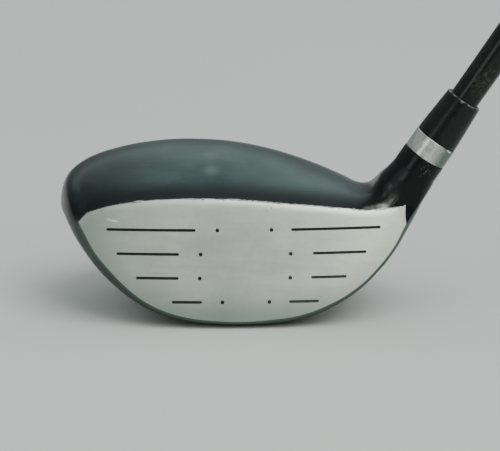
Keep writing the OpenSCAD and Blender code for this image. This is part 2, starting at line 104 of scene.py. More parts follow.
def slide(s):
    u = np.clip((s - FA) / (FB - FA), 0, 1)
    return np.where(s <= FA, s, np.where(s >= FB, (FA + FB) / 2, s - (FB - FA) * (u**3 - u**4 / 2)))


def place(s, y, h):
    x = slide(s)
    a = 2 * (s - x) * D2R
    return np.stack([x + (FZ - h) * np.sin(a), y, FZ - (FZ - h) * np.cos(a)], -1)


def face_y(x, z):
    return -15.3 + (z - 19.5) * LOFT + x * x / 640 + (z - 19.5) ** 2 / 600


def face_in(p):
    v = np.stack([-p[..., 0] / 320, np.ones(p.shape[:-1]), -LOFT - (p[..., 2] - 19.5) / 300], -1)
    return v / np.linalg.norm(v, axis=-1, keepdims=True)


def soft_edge(d):
    return 0.55 * np.maximum(0, 1 - d / 1.9) ** 2


def soft_here(s):
    return ease((s - SC) / 3) * (1 - ease((s - 45) / 5))


def on_face(s, h):
    p = place(s, 0 * h, h)
    return face_y(p[..., 0], p[..., 2])


def necked(s):
    return ease((s - 30) / (S1 - 30))


def bez(p, q, r, s, t):
    u = 1 - t
    return u**3 * p + 3 * u * u * t * q + 3 * u * t * t * r + t**3 * s


def ptT(s):
    h = Th(s)
    y = np.where(s < SC, Ny(s), np.where(s <= 50.07, on_face(s, h) + soft_edge(0) * soft_here(s), Ty(s)))
    return y, h


def ptB(s):
    ty, th = ptT(s)
    h = Bh(s)
    y = np.where(s <= 47.33, on_face(s, h), By(s))
    return np.where(s < SC, ty, y), np.where(s < SC, th, h)


def section(k, s, t):
    """y, h of the point at parameter t of arc k in section s"""
    ty, th = ptT(s)
    by, bh = ptB(s)
    ky, kh, ry, rh, sy, sh = Ky(s), Kh(s), Ry(s), Rh(s), Sy(s), Sh(s)
    n = necked(s)
    if k == 0:
        a = Ta(s) * D2R
        w = ky - ty
        f = 0.6575 * RN * n + 8 * n * (1 - n)
        p = np.maximum(0.1, (1 - n) * 0.36 * w + f)
        q = np.maximum(0.1, (1 - n) * 0.42 * w + f)
        return bez(ty, ty + p * np.cos(a), ky - q, ky, t), bez(th, th + p * np.sin(a), kh, kh, t)
    if k == 1:
        return bez(ky, ky + 0.58 * (ry - ky), ry, ry, t), bez(kh, kh, rh + 0.56 * (kh - rh), rh, t)
    if k == 2:
        return bez(ry, ry, sy + 0.55 * (ry - sy), sy, t), bez(rh, rh - 0.55 * (rh - sh), sh, sh, t)
    if k == 3:
        e = Ba(s) * D2R
        p = (1 - n) * (bh - sh) / np.sin(e) + n * 0.1755 * RN
        q = np.maximum(0.1, (1 - n) * 0.62 * (sy - by) + n * 0.1755 * RN)
        return bez(sy, sy - q, by + p * np.cos(e), by, t), bez(sh, sh, bh - p * np.sin(e), bh, t)
    h = bh + (th - bh) * t
    f = on_face(s, h) + soft_edge(th - h) * soft_here(s)
    w = ease((s - SH) / (S1 - SH))
    eb = by - on_face(s, bh)
    et = ty - on_face(s, th) - soft_edge(0) * soft_here(s)
    kk = 0.2652 * RN
    a = Ta(s) * D2R
    cy = bez(by, by - kk * sn(60), ty - kk * np.cos(a), ty, t)
    ch = bez(bh, bh + kk * cs(60), th - kk * np.sin(a), th, t)
    y = (1 - w) * (f + eb + (et - eb) * t) + w * cy
    h = (1 - w) * h + w * ch
    return np.where(s < SC, ty, y), np.where(s < SC, th, h)


# columns: T to K, K to R, R to the paint line W, W to S, S to B, B to T
def spread(n, p=1.0):
    return (np.arange(n) / n) ** p


NTc, NKc, NWc, NRc, NSc, NFc = 30, 36, 16, 20, 18, 34
COLS = ([(0, t, 0) for t in spread(NTc, 1.35)] + [(1, t, 0) for t in spread(NKc)] + [(2, t, 0) for t in spread(NWc)]
        + [(2, t, 1) for t in spread(NRc)] + [(3, t, 0) for t in spread(NSc)] + [(4, 1 - (1 - t) ** 1.6, 0) for t in spread(NFc)])
jK, jR, jW = NTc, NTc + NKc, NTc + NKc + NWc
jS = jW + NRc
jB = jS + NSc
NC = jB + NFc
q0, q1 = math.sqrt(SC - S0), math.sqrt(-42 - S0)
STA = np.array([S0 + (q0 * i / 18) ** 2 for i in range(18)] + [S0 + (q0 + (q1 - q0) * i / 9) ** 2 for i in range(9)]
               + list(np.arange(-42, 20.1, 1.25)) + [20.5 + (SH - 20.5) * i / 30 for i in range(30)]
               + [SH + (S1 - SH) * i / 24 for i in range(25)])
iC = 18
iE = len(STA) - 25
NI = len(STA)


def build_skin():
    G = np.zeros((NI, NC, 3))
    for j, (k, t, part) in enumerate(COLS):
        sb = STA
        he = 1.37 * np.where(sb < SH, ease((sb - 20) / (SH - 20)), 1 - ease((sb - SH) / (S1 - SH)))
        to = 2.7 * np.where(sb < SC, ease((sb - S0) / (SC - S0)), 1 - ease((sb - SC) / 11))
        if k <= 1:
            lh, lt = 1, 0
        elif k == 2:
            lh, lt = (1 - 2 * ease(t), ease(t)) if part == 0 else (-1, 1)
        elif k == 3:
            lh, lt = -1, 1 - ease(t)
        else:
            lh, lt = 2 * t - 1, 0
        s = np.clip(sb + he * lh - to * lt, S0, S1)
        tt = np.full(NI, float(t))
        if k == 2:
            r, lo_h = Rh(s), Sh(s)
            want = np.clip((r - Wh(s)) / np.maximum(0.01, r - lo_h), 0.1, 0.93)
            a, b = np.zeros(NI), np.ones(NI)
            for _ in range(26):
                m = (a + b) / 2
                u = 1 - m
                low = 1 - u**3 - 1.35 * u * u * m < want
                a, b = np.where(low, m, a), np.where(low, b, m)
            tt = a * t if part == 0 else a + (1 - a) * t
        y, h = section(k, s, tt)
        G[:, j] = place(s, y, h)
    G[..., 2] = np.maximum(0, G[..., 2])
    G[0, :] = G[0, 0]
    for j in range(jB, NC):
        G[: iC + 1, j] = G[: iC + 1, 0]
    return G


G = build_skin()


def skin_normals():
    a = np.empty_like(G)
    a[1:-1] = G[2:] - G[:-2]
    a[0], a[-1] = G[1] - G[0], G[-1] - G[-2]
    b = np.roll(G, -1, 1) - np.roll(G, 1, 1)
    v = np.cross(a, b)
    v /= np.maximum(1e-9, np.linalg.norm(v, axis=-1, keepdims=True))
    if v[iC + 40, jK, 2] < 0:
        v = -v
    v[0, :] = [-1, 0, 0]
    return v


NV = skin_normals()
# distance in mm from the topline, round the section and over the crown
RUN = np.concatenate([np.zeros((NI, 1)), np.cumsum(np.linalg.norm(np.diff(G, axis=1), axis=-1), axis=1)], 1)


def new_object(name, verts, faces, sharp=38.0):
    me = bpy.data.meshes.new(name)
    me.from_pydata([tuple(v) for v in np.asarray(verts) * MM], [], faces)
    me.validate(clean_customdata=False)
    me.update()
    ob = bpy.data.objects.new(name, me)
    bpy.context.scene.collection.objects.link(ob)
    if sharp:
        for p in me.polygons:
            p.use_smooth = True
        me.set_sharp_from_angle(angle=sharp * D2R)
    return ob


def patch(name, rows, cols_of, thick, sharp=38.0):
    """A closed thick piece of the skin. cols_of(i) gives the columns of cell row i."""
    used = {}
    verts, runs = [], []

    def vid(i, j, inner):
        j %= NC
        if i == 0:
            j = 0
        elif i <= iC and j >= jB:
            j = 0
        key = (i, j, inner)
        if key not in used:
            used[key] = len(verts)
            verts.append(G[i, j] - (thick(i, j) if inner else 0))
            runs.append((RUN[i, j] if j < jB else 0.0, STA[i], NV[i, j, 1]))
        return used[key]

    cells = set((i, j) for i in rows for j in cols_of(i))
    faces = []

    def add(f):
        g = []
        for v in f:
            if not g or v != g[-1]:
                g.append(v)
        if g[0] == g[-1]:
            g.pop()
        if len(set(g)) >= 3:
            faces.append(g)

    for i, j in sorted(cells):
        a, b, c, d = (i, j), (i + 1, j), (i + 1, j + 1), (i, j + 1)
        add([vid(*a, 0), vid(*d, 0), vid(*c, 0), vid(*b, 0)])
        add([vid(*a, 1), vid(*b, 1), vid(*c, 1), vid(*d, 1)])
        for other, p, q, closed in (((i, (j - 1) % NC), a, b, i < iC and j == 0),
                                    ((i, (j + 1) % NC), c, d, i < iC and j == jB - 1),
                                    ((i - 1, j), d, a, i == 0), ((i + 1, j), b, c, False)):
            if other in cells or closed:
                continue
            add([vid(*p, 0), vid(*q, 0), vid(*q, 1), vid(*p, 1)])
    ob = new_object(name, verts, faces, sharp)
    # make the outside face out
    me = ob.data
    vol = 0.0
    co = np.array([v.co[:] for v in me.vertices])
    for p in me.polygons:
        vs = p.vertices
        for k in range(1, len(vs) - 1):
            vol += np.dot(co[vs[0]], np.cross(co[vs[k]], co[vs[k + 1]]))
    if vol < 0:
        me.flip_normals()
    for nm, idx in (("run", 0), ("sta", 1), ("lean", 2)):
        at = me.attributes.new(nm, "FLOAT", "POINT")
        at.data.foreach_set("value", np.array([r[idx] for r in runs], np.float32))
    return ob


CROWN, SOLE, FACE = 0.9, 1.3, 2.4
FIN = face_in(G)


def face_t(s):
    return FACE + (0.9 - FACE) * ease((s - 26) / 14)


def thick_shell(i, j):
    if iC <= i <= iE and (j == 0 or j == jB):
        return -min(1.66 * CROWN, face_t(STA[i])) * FIN[i, j]
    if i == iE and j > jB:
        return -face_t(STA[i]) * FIN[i, j]
    return CROWN * NV[i, j]


def thick_sole(i, j):
    if j == 0 or j == jB:
        return -min(1.25 * SOLE, face_t(STA[i])) * FIN[i, j]
    return SOLE * NV[i, j]


def thick_face(i, j):
    return -face_t(STA[i]) * FIN[i, j]


# ------------------------------------------------------------- shaft axis work
DIR = np.array([math.cos(LIE), 0, math.sin(LIE)])
EX = np.array([math.sin(LIE), 0, -math.cos(LIE)])
EY = np.array([0.0, 1.0, 0.0])
ORG = np.array([AX, AY, 0.0])


def on_axis(r, t, th):
    return ORG + DIR * t + EX * (r * math.cos(th)) + EY * (r * math.sin(th))


def rounded(profile, radii, n=5):
    """The closed profile with each corner rounded to about its radius."""
    out = []
    m = len(profile)
    for i, p in enumerate(profile):
        p = np.array(p, float)
        a, b = np.array(profile[i - 1], float), np.array(profile[(i + 1) % m], float)
        r = radii[i] if i < len(radii) else 0
        if r <= 0:
            out.append(tuple(p))
            continue
        ra, rb = min(r, 0.45 * np.linalg.norm(a - p)), min(r, 0.45 * np.linalg.norm(b - p))
        pa, pb = p + (a - p) / np.linalg.norm(a - p) * ra, p + (b - p) / np.linalg.norm(b - p) * rb
        for k in range(n + 1):
            t = k / n
            out.append(tuple((1 - t) ** 2 * pa + 2 * t * (1 - t) * p + t * t * pb))
    return out


def turned(name, profile, seg=128, shape=None, sharp=40.0, weighted=True):
    """Turns a closed profile of (radius, height along the shaft) about the shaft axis. Points at radius 0 become one vertex."""
    verts, ids = [], []
    for k, (r, t) in enumerate(profile):
        if r < 1e-6:
            ids.append([len(verts)] * seg)
            verts.append(on_axis(0, t, 0))
            continue
        row = []
        for i in range(seg):
            th = 2 * math.pi * i / seg
            rr, tt = shape(r, t, th, k) if shape else (r, t)
            row.append(len(verts))
            verts.append(on_axis(rr, tt, th))
        ids.append(row)
    faces = []
    m = len(profile)
    for k in range(m):
        A, B = ids[k], ids[(k + 1) % m]
        if A[0] == A[1] and B[0] == B[1]:
            continue
        for i in range(seg):
            j = (i + 1) % seg
            f = [A[i], A[j], B[j], B[i]]
            g = []
            for v in f:
                if v not in g:
                    g.append(v)
            faces.append(g)
    ob = new_object(name, verts, faces, sharp)
    me = ob.data
    co = np.array([v.co[:] for v in me.vertices])
    co = co - co.mean(0)
    vol = sum(np.dot(co[p.vertices[0]], np.cross(co[p.vertices[k]], co[p.vertices[k + 1]]))
              for p in me.polygons for k in range(1, len(p.vertices) - 1))
    if vol < 0:
        me.flip_normals()
    if weighted:
        w = ob.modifiers.new("even_normals", "WEIGHTED_NORMAL")
        w.keep_sharp = True
    return ob


# ------------------------------------------------------------------- materials
class Mat:
    """A small helper round one node material."""

    def __init__(self, name):
        self.m = bpy.data.materials.new(name)
        self.m.use_nodes = True
        self.t = self.m.node_tree
        self.bsdf = next(n for n in self.t.nodes if n.type == "BSDF_PRINCIPLED")
        tc = self.t.nodes.new("ShaderNodeTexCoord")
        sc = self.t.nodes.new("ShaderNodeVectorMath")
        sc.operation = "SCALE"
        sc.inputs["Scale"].default_value = 1000.0
        self.t.links.new(tc.outputs["Object"], sc.inputs[0])
        self.co = sc.outputs[0]  # object coordinates in millimetres

    def link(self, a, b):
        self.t.links.new(a, b)

    def put(self, sock, v):
        if isinstance(v, bpy.types.NodeSocket):
            self.link(v, sock)
        else:
            sock.default_value = v

    def math(self, op, a, b=0.0, c=0.0, clamp=False):
        n = self.t.nodes.new("ShaderNodeMath")
        n.operation = op
        n.use_clamp = clamp
        for i, v in enumerate((a, b, c)):
            self.put(n.inputs[i], v)
        return n.outputs[0]

    def vec(self, op, a, b=None):
        n = self.t.nodes.new("ShaderNodeVectorMath")
        n.operation = op
        self.put(n.inputs[0], a)
        if b is not None:
            self.put(n.inputs[1], b)
        return n.outputs["Value"] if op in ("LENGTH", "DISTANCE", "DOT_PRODUCT") else n.outputs[0]

    def xyz(self, v=None):
        n = self.t.nodes.new("ShaderNodeSeparateXYZ")
        self.link(v if v is not None else self.co, n.inputs[0])
        return n.outputs

    def comb(self, x, y, z):
        n = self.t.nodes.new("ShaderNodeCombineXYZ")
        for i, v in enumerate((x, y, z)):
            self.put(n.inputs[i], v)
        return n.outputs[0]

    def noise(self, scale, detail=3.0, rough=0.5, vec=None, dist=0.0, colour=False):
        n = self.t.nodes.new("ShaderNodeTexNoise")
        self.link(vec if vec is not None else self.co, n.inputs["Vector"])
        n.inputs["Scale"].default_value = scale
        n.inputs["Detail"].default_value = detail
        n.inputs["Roughness"].default_value = rough
        n.inputs["Distortion"].default_value = dist
        return n.outputs["Color"] if colour else n.outputs["Fac"]

    def voronoi(self, scale, vec=None, feature="F1"):
        n = self.t.nodes.new("ShaderNodeTexVoronoi")
        n.feature = feature
        self.link(vec if vec is not None else self.co, n.inputs["Vector"])
        n.inputs["Scale"].default_value = scale
        return n.outputs["Distance"]

    def range(self, v, a, b, c=0.0, d=1.0, smooth=False):
        n = self.t.nodes.new("ShaderNodeMapRange")
        if smooth:
            n.interpolation_type = "SMOOTHSTEP"
        self.put(n.inputs["Value"], v)
        n.inputs["From Min"].default_value = a
        n.inputs["From Max"].default_value = b
        n.inputs["To Min"].default_value = c
        n.inputs["To Max"].default_value = d
        return n.outputs["Result"]

    def mix(self, f, a, b):
        n = self.t.nodes.new("ShaderNodeMix")
        n.data_type = "RGBA"
        self.put(n.inputs[0], f)
        for sock, v in ((n.inputs[6], a), (n.inputs[7], b)):
            self.put(sock, v if isinstance(v, bpy.types.NodeSocket) else (*v, 1.0))
        return n.outputs[2]

    def attr(self, name):
        n = self.t.nodes.new("ShaderNodeAttribute")
        n.attribute_name = name
        return n.outputs["Fac"]

    def spot(self, p, r, soft=0.5, stretch=(1, 1, 1)):
        """1 inside a blob of radius r about p, both in mm"""
        d = self.vec("SUBTRACT", self.co, p)
        if stretch != (1, 1, 1):
            d = self.vec("DIVIDE", d, stretch)
        return self.range(self.vec("LENGTH", d), r * (1 - soft), r, 1.0, 0.0, True)

    def scratch(self, a, b, w):
        """1 along a thin line from a to b, w wide"""
        a, b = Vector(a), Vector(b)
        d = b - a
        L = d.length
        rel = self.vec("SUBTRACT", self.co, tuple(a))
        t = self.math("DIVIDE", self.vec("DOT_PRODUCT", rel, tuple(d / L)), L, clamp=False)
        t = self.math("MINIMUM", self.math("MAXIMUM", t, 0.0), 1.0)
        n = self.t.nodes.new("ShaderNodeVectorMath")
        n.operation = "SCALE"
        n.inputs[0].default_value = tuple(d)
        self.link(t, n.inputs["Scale"])
        return self.range(self.vec("DISTANCE", rel, n.outputs[0]), 0.3 * w, w, 1.0, 0.0, True)

    def bump(self, h, dist, strength=1.0, normal=None):
        n = self.t.nodes.new("ShaderNodeBump")
        n.inputs["Strength"].default_value = strength
        n.inputs["Distance"].default_value = dist * MM
        self.link(h, n.inputs["Height"])
        if normal is not None:
            self.link(normal, n.inputs["Normal"])
        return n.outputs[0]

    def out(self, **kw):
        for k, v in kw.items():
            s = self.bsdf.inputs[k.replace("_", " ")]
            if isinstance(v, tuple) and len(v) == 3 and s.type == "RGBA":
                v = (*v, 1.0)
            self.put(s, v)
        return self.m


def mx(m, *v):
    r = v[0]
    for a in v[1:]:
        r = m.math("MAXIMUM", r, a)
    return r




# where a mark at horizontal place x and height z sits on the face, mm
def fpt(x, z):
    return (x, float(face_y(x, z)), z)


def mat_face():
    m = Mat("face_satin_steel")
    X, Y, Z = m.xyz()
    cloud = m.noise(0.045, 3, 0.55)
    fine = m.noise(2.2, 4, 0.6)
    # the linished grain runs heel to toe
    grain = m.noise(1.0, 3, 0.65, vec=m.comb(m.math("MULTIPLY", X, 0.22), Y, m.math("MULTIPLY", Z, 5.0)))
    toe = m.range(X, -52.0, -22.0, 1.0, 0.0, True)
    low = m.range(Z, 0.0, 16.0, 1.0, 0.0, True)
    cloud2 = m.noise(0.16, 4, 0.62, dist=0.5)
    base = m.mix(m.range(cloud, 0.35, 0.65), (0.560, 0.615, 0.558), (0.672, 0.718, 0.646))
    base = m.mix(m.math("MULTIPLY", m.range(cloud2, 0.40, 0.66), 0.26), base, (0.44, 0.49, 0.45))
    base = m.mix(m.math("MULTIPLY", m.range(m.noise(0.55, 4, 0.65, dist=0.6), 0.42, 0.64), 0.12), base, (0.40, 0.44, 0.40))
    # painted light: the face is lighter and warmer towards the heel and across its upper middle
    base = m.mix(m.math("MULTIPLY", m.range(X, 8.0, 40.0, 0.0, 1.0, True), 0.50), base, (0.84, 0.87, 0.68))
    base = m.mix(m.math("MULTIPLY", m.math("MULTIPLY", m.range(Z, 22.0, 33.0, 0.0, 1.0, True), m.range(X, -40.0, -15.0, 0.0, 1.0, True)), 0.28), base, (0.78, 0.82, 0.70))
    base = m.mix(m.math("MULTIPLY", m.range(fine, 0.3, 0.75), 0.16), base, (0.74, 0.74, 0.72))
    band = m.noise(1.0, 4, 0.62, vec=m.comb(m.math("MULTIPLY", X, 0.06), m.math("MULTIPLY", Y, 0.3), m.math("MULTIPLY", Z, 0.42)), dist=0.3)
    base = m.mix(m.math("MULTIPLY", m.range(band, 0.50, 0.66), 0.26), base, (0.78, 0.79, 0.70))
    base = m.mix(m.math("MULTIPLY", m.range(band, 0.50, 0.36), 0.16), base, (0.40, 0.45, 0.41))
    base = m.mix(m.math("MULTIPLY", m.range(m.noise(0.30, 3, 0.6, dist=0.8), 0.56, 0.68), 0.15), base, (0.42, 0.46, 0.42))
    # painted shade: the face goes darker and greener towards the toe and towards the bottom
    base = m.mix(m.math("MULTIPLY", toe, 0.84), base, (0.265, 0.350, 0.298))
    base = m.mix(m.math("MULTIPLY", low, 0.78), base, (0.265, 0.350, 0.298))
    # ball marks: faint smudges in the hitting area, and fine scratches
    smudge = m.math("MULTIPLY", m.range(m.noise(0.16, 4, 0.6, dist=0.4), 0.56, 0.72), m.spot((2.0, -14.0, 18.0), 22.0, 0.9, (1.3, 1, 0.8)))
    base = m.mix(m.math("MULTIPLY", smudge, 0.16), base, (0.80, 0.80, 0.78))
    hair = m.noise(1.0, 2, 0.5, vec=m.comb(m.math("MULTIPLY", m.math("ADD", X, Z), 3.2), Y, m.math("MULTIPLY", m.math("SUBTRACT", X, Z), 0.10)))
    hair = m.range(hair, 0.70, 0.76)
    base = m.mix(m.math("MULTIPLY", hair, 0.25), base, (0.80, 0.81, 0.79))
    # a pale scuff by the toe's top corner, and a small dark knock under the top line
    scuff = mx(m, m.scratch(fpt(-40.2, 31.0), fpt(-37.6, 30.6), 0.42), m.scratch(fpt(-39.4, 30.7), fpt(-36.8, 30.5), 0.24))
    scuff = m.math("MULTIPLY", scuff, m.range(m.noise(1.5, 3, 0.6), 0.36, 0.50, 0.3, 1.0))
    spk = m.math("MULTIPLY", m.range(m.voronoi(0.9), 0.13, 0.06), m.spot(fpt(-44.0, 28.5), 6.0, 0.9))
    base = m.mix(m.math("MULTIPLY", spk, 0.45), base, (0.86, 0.90, 0.86))
    base = m.mix(m.math("MULTIPLY", scuff, 0.85), base, (0.93, 0.93, 0.91))
    knock = mx(m, m.spot(fpt(-41.8, 33.5), 0.42), m.scratch(fpt(7.6, 35.6), fpt(8.2, 34.3), 0.22), m.spot(fpt(22.6, 9.0), 0.22))
    base = m.mix(m.math("MULTIPLY", knock, 0.8), base, (0.06, 0.07, 0.065))
    edge = m.attr("topd")
    # painted highlight: a pale strip along the rounded top edge
    base = m.mix(m.math("MULTIPLY", m.range(edge, 0.2, 1.8, 1.0, 0.0, True), 0.10), base, (0.72, 0.75, 0.68))
    # painted shade: darker and greener within 7 mm of the lower and heel rims
    rim = m.attr("rimd")
    base = m.mix(m.math("MULTIPLY", m.range(rim, 0.0, 7.0, 1.0, 0.0, True), 0.34), base, (0.27, 0.34, 0.30))
    nicks = m.math("MULTIPLY", m.range(m.math("ADD", edge, m.math("MULTIPLY", m.noise(1.9, 3, 0.6), 1.3)), 0.90, 0.80), m.range(m.noise(0.24, 2, 0.5), 0.42, 0.50))
    nicks = m.math("MULTIPLY", nicks, m.math("MAXIMUM", m.range(X, -26.0, -12.0, 0.12, 1.0, True), m.spot(fpt(-31.5, 36.0), 2.6, 0.7)))
    base = m.mix(m.math("MULTIPLY", nicks, 0.85), base, (0.03, 0.04, 0.037))
    rough = m.math("ADD", m.range(cloud, 0.3, 0.7, 0.36, 0.44), m.math("MULTIPLY", fine, 0.08))
    h = m.math("ADD", m.math("MULTIPLY", grain, 0.7), m.math("MULTIPLY", fine, 0.6))
    nrm = m.bump(h, 0.010, 0.6)
    nrm = m.bump(scuff, 0.03, 0.8, nrm)
    return m.out(Base_Color=base, Metallic=0.82, Roughness=rough, Normal=nrm)


def mat_sole():
    m = Mat("sole_steel")
    X, Y, Z = m.xyz()
    cloud = m.noise(0.05, 3, 0.5)
    fine = m.noise(1.6, 4, 0.6)
    # turf scratches run front to back
    turf = m.noise(1.0, 3, 0.6, vec=m.comb(m.math("MULTIPLY", X, 2.6), m.math("MULTIPLY", Y, 0.05), m.math("MULTIPLY", Z, 0.3)))
    under = m.range(Z, 1.0, 9.0, 1.0, 0.0, True)
    base = m.mix(m.range(cloud, 0.3, 0.7), (0.30, 0.325, 0.31), (0.42, 0.445, 0.425))
    base = m.mix(m.math("MULTIPLY", m.math("MULTIPLY", m.range(turf, 0.58, 0.74), under), 0.5), base, (0.70, 0.71, 0.69))
    base = m.mix(m.math("MULTIPLY", m.math("MULTIPLY", m.range(turf, 0.40, 0.30), under), 0.35), base, (0.20, 0.21, 0.20))
    base = m.mix(m.math("MULTIPLY", m.range(m.noise(0.5, 3, 0.6), 0.60, 0.70), 0.25), base, (0.18, 0.19, 0.17))
    # painted shade: the sole is near black, dull and barely metallic along the leading edge, fading out between 4.5 and
    # 13 mm from the face's lower rim
    base = m.mix(m.math("MULTIPLY", m.range(m.attr("rimd"), 4.5, 13.0, 0.93, 0.0, True), 1.0), base, (0.022, 0.038, 0.031))
    # painted highlight: a paler green-grey strip within 2 mm of the face's lower rim
    base = m.mix(m.math("MULTIPLY", m.range(m.attr("rimd"), 0.0, 2.0, 1.0, 0.0, True), 0.36), base, (0.20, 0.27, 0.225))
    rough = m.math("ADD", m.range(cloud, 0.3, 0.7, 0.20, 0.30), m.math("MULTIPLY", m.range(turf, 0.5, 0.75), 0.12))
    nrm = m.bump(m.math("ADD", m.math("MULTIPLY", turf, 0.8), m.math("MULTIPLY", fine, 0.15)), 0.010, 0.5)
    edge = m.range(m.attr("rimd"), 4.5, 13.0, 1.0, 0.0, True)
    rough = m.math("ADD", rough, m.math("MULTIPLY", edge, 0.16))
    m.bsdf.inputs["IOR"].default_value = 1.36
    m.bsdf.inputs["Specular IOR Level"].default_value = 0.22
    return m.out(Base_Color=base, Metallic=m.range(edge, 0.0, 1.0, 0.9, 0.05), Roughness=rough, Normal=nrm)


def mat_crown():
    m = Mat("crown_black_paint")
    X, Y, Z = m.xyz()
    run, sta = m.attr("run"), m.attr("sta")
    chipn = m.noise(0.9, 4, 0.62)
    base = m.mix(m.range(m.noise(0.05, 3, 0.55), 0.35, 0.65), (0.0032, 0.0056, 0.0055), (0.0060, 0.0094, 0.0091))
    # painted reflection: a pale teal sheen over the crown stands for the reflected sky; it is weaker where the surface
    # faces backwards, and the toe, the neck and the strip behind the face stay dark
    sky_sheen = m.math("MULTIPLY", m.range(m.noise(0.07, 2, 0.5, dist=0.3), 0.30, 0.70, 0.55, 1.0), m.range(run, 2.0, 12.5, 0.0, 1.0, True))
    drift = m.math("MULTIPLY", m.noise(0.05, 2, 0.5), 9.0)
    # painted shade: the sheen is held back round the foot of the neck, leaving a dark patch there
    neck_shade_dist = [m.math("POWER", m.math("SUBTRACT", c, k), 2.0) for c, k in ((X, 57.0), (Y, -5.0), (Z, 48.0))]
    neck_shade_dist = m.math("SQRT", m.math("ADD", m.math("ADD", neck_shade_dist[0], neck_shade_dist[1]), neck_shade_dist[2]))
    sky_sheen = m.math("MULTIPLY", sky_sheen, m.range(m.math("SUBTRACT", neck_shade_dist, drift), 16.5, 31.0, 0.0, 1.0, True))
    sky_sheen = m.math("MULTIPLY", sky_sheen, m.range(m.math("ADD", sta, drift), 40.0, 55.0, 1.0, 0.0, True))
    sky_sheen = m.math("MULTIPLY", sky_sheen, m.range(m.math("ADD", X, drift), -47.0, -18.0, 0.14, 1.0, True))
    sky_sheen = m.math("MULTIPLY", sky_sheen, m.range(m.attr("lean"), -0.12, 0.24, 1.0, 0.35, True))
    brush = m.noise(1.0, 3, 0.6, vec=m.comb(m.math("MULTIPLY", X, 0.10), m.math("MULTIPLY", Y, 1.1), m.math("MULTIPLY", Z, 1.1)))
    sky_sheen = m.math("MULTIPLY", sky_sheen, m.range(brush, 0.35, 0.65, 0.92, 1.05))
    base = m.mix(m.math("MULTIPLY", sky_sheen, 0.70), base, (0.090, 0.140, 0.136))
    dust = m.range(m.voronoi(0.42), 0.070, 0.03)
    base = m.mix(m.math("MULTIPLY", dust, 0.06), base, (0.30, 0.33, 0.32))
    spots = mx(m, m.spot((-9.5, 3.1, 42.6), 3.4, 0.95), m.math("MULTIPLY", m.spot((-9.5, 12.0, 45.6), 4.0, 0.95), 0.6))
    base = m.mix(m.math("MULTIPLY", spots, 0.16), base, (0.30, 0.36, 0.345))
    # bare metal where the paint is chipped along the top line
    on_top = m.math("MULTIPLY", m.range(sta, 44.0, 46.0, 1.0, 0.0), m.range(sta, -49.0, -47.0, 0.0, 1.0))
    line = m.range(m.math("ADD", run, m.math("MULTIPLY", m.noise(1.7, 3, 0.6), 1.5)), 0.95, 1.10, 1.0, 0.0)
    here = m.math("MULTIPLY", m.range(m.noise(0.33, 3, 0.6), 0.44, 0.54, 0.25, 1.0), m.range(X, -28.0, -14.0, 0.35, 1.0, True))
    chips = m.math("MULTIPLY", m.math("MULTIPLY", line, here), 0.85)
    named = []
    for x, z, r in ((-31.1, 36.1, 1.3), (-2.3, 36.6, 1.5), (3.9, 36.3, 0.6), (8.0, 35.9, 0.9), (17.4, 35.0, 0.8), (41.5, 33.0, 1.3)):
        named.append(m.spot((x, float(face_y(x, z)), z), r * 1.2, 0.6, (1.6, 1, 1)))
    named = m.math("MULTIPLY", mx(m, *named), m.range(m.math("ADD", run, m.math("MULTIPLY", chipn, 1.4)), 1.0, 1.4, 1.0, 0.0))
    chips = m.math("MULTIPLY", m.math("MAXIMUM", chips, named), on_top)
    base = m.mix(chips, base, (0.60, 0.61, 0.59))
    # scratches where the neck meets the crown, and up the neck
    scr = mx(m, m.scratch((43.2, -7.4, 33.6), (45.6, -7.6, 36.2), 0.16), m.scratch((44.2, -7.6, 33.9), (46.4, -7.9, 35.6), 0.13),
             m.scratch((51.8, -8.3, 44.5), (53.6, -8.2, 46.8), 0.13), m.scratch((53.0, -8.4, 43.8), (54.4, -8.3, 45.2), 0.10),
             m.scratch((50.6, -7.9, 42.0), (51.3, -8.1, 43.3), 0.10), m.scratch((-20.0, 10.0, 45.0), (-12.0, 14.0, 45.9), 0.10),
             m.scratch((10.0, 24.0, 43.4), (16.0, 20.0, 41.9), 0.09))
    base = m.mix(m.math("MULTIPLY", scr, 0.24), base, (0.36, 0.40, 0.38))
    # paint rubbed through where the neck comes down to the face; the bright spot and the pale wisps rising from it are
    # a painted highlight of light caught in that hollow
    u = m.vec("DOT_PRODUCT", m.co, (0.66, -0.05, 0.75))
    w = m.vec("DOT_PRODUCT", m.co, (0.75, 0.0, -0.66))
    hair = m.noise(1.0, 4, 0.65, vec=m.comb(m.math("MULTIPLY", w, 1.25), m.math("MULTIPLY", u, 0.25), 0.0))
    grit = m.noise(1.3, 4, 0.7)
    du = m.math("SUBTRACT", u, float(np.dot((41.7, -7.6, 34.3), (0.66, -0.05, 0.75))))
    wisp_highlight = m.math("MULTIPLY", m.scratch((42.0, -7.5, 34.4), (45.2, -7.9, 37.9), 1.5), m.range(hair, 0.36, 0.62, 0.35, 1.0, True))
    wisp_highlight = m.math("MULTIPLY", m.math("MULTIPLY", wisp_highlight, m.range(du, 0.3, 5.0, 0.52, 0.04)), m.range(grit, 0.30, 0.55, 0.6, 1.0))
    rub_highlight = mx(m, m.math("MULTIPLY", m.spot((41.2, -7.6, 34.0), 1.5, 0.9, (1.7, 1.0, 0.62)), m.range(grit, 0.34, 0.50, 0.3, 1.0)), wisp_highlight)
    base = m.mix(m.math("MULTIPLY", rub_highlight, 0.62), base, (0.56, 0.63, 0.58))
    thin = m.math("MULTIPLY", m.scratch((36.4, -8.6, 33.1), (41.0, -7.8, 33.6), 2.0), m.range(grit, 0.30, 0.60, 0.25, 1.0))
    base = m.mix(m.math("MULTIPLY", thin, 0.22), base, (0.45, 0.49, 0.44))
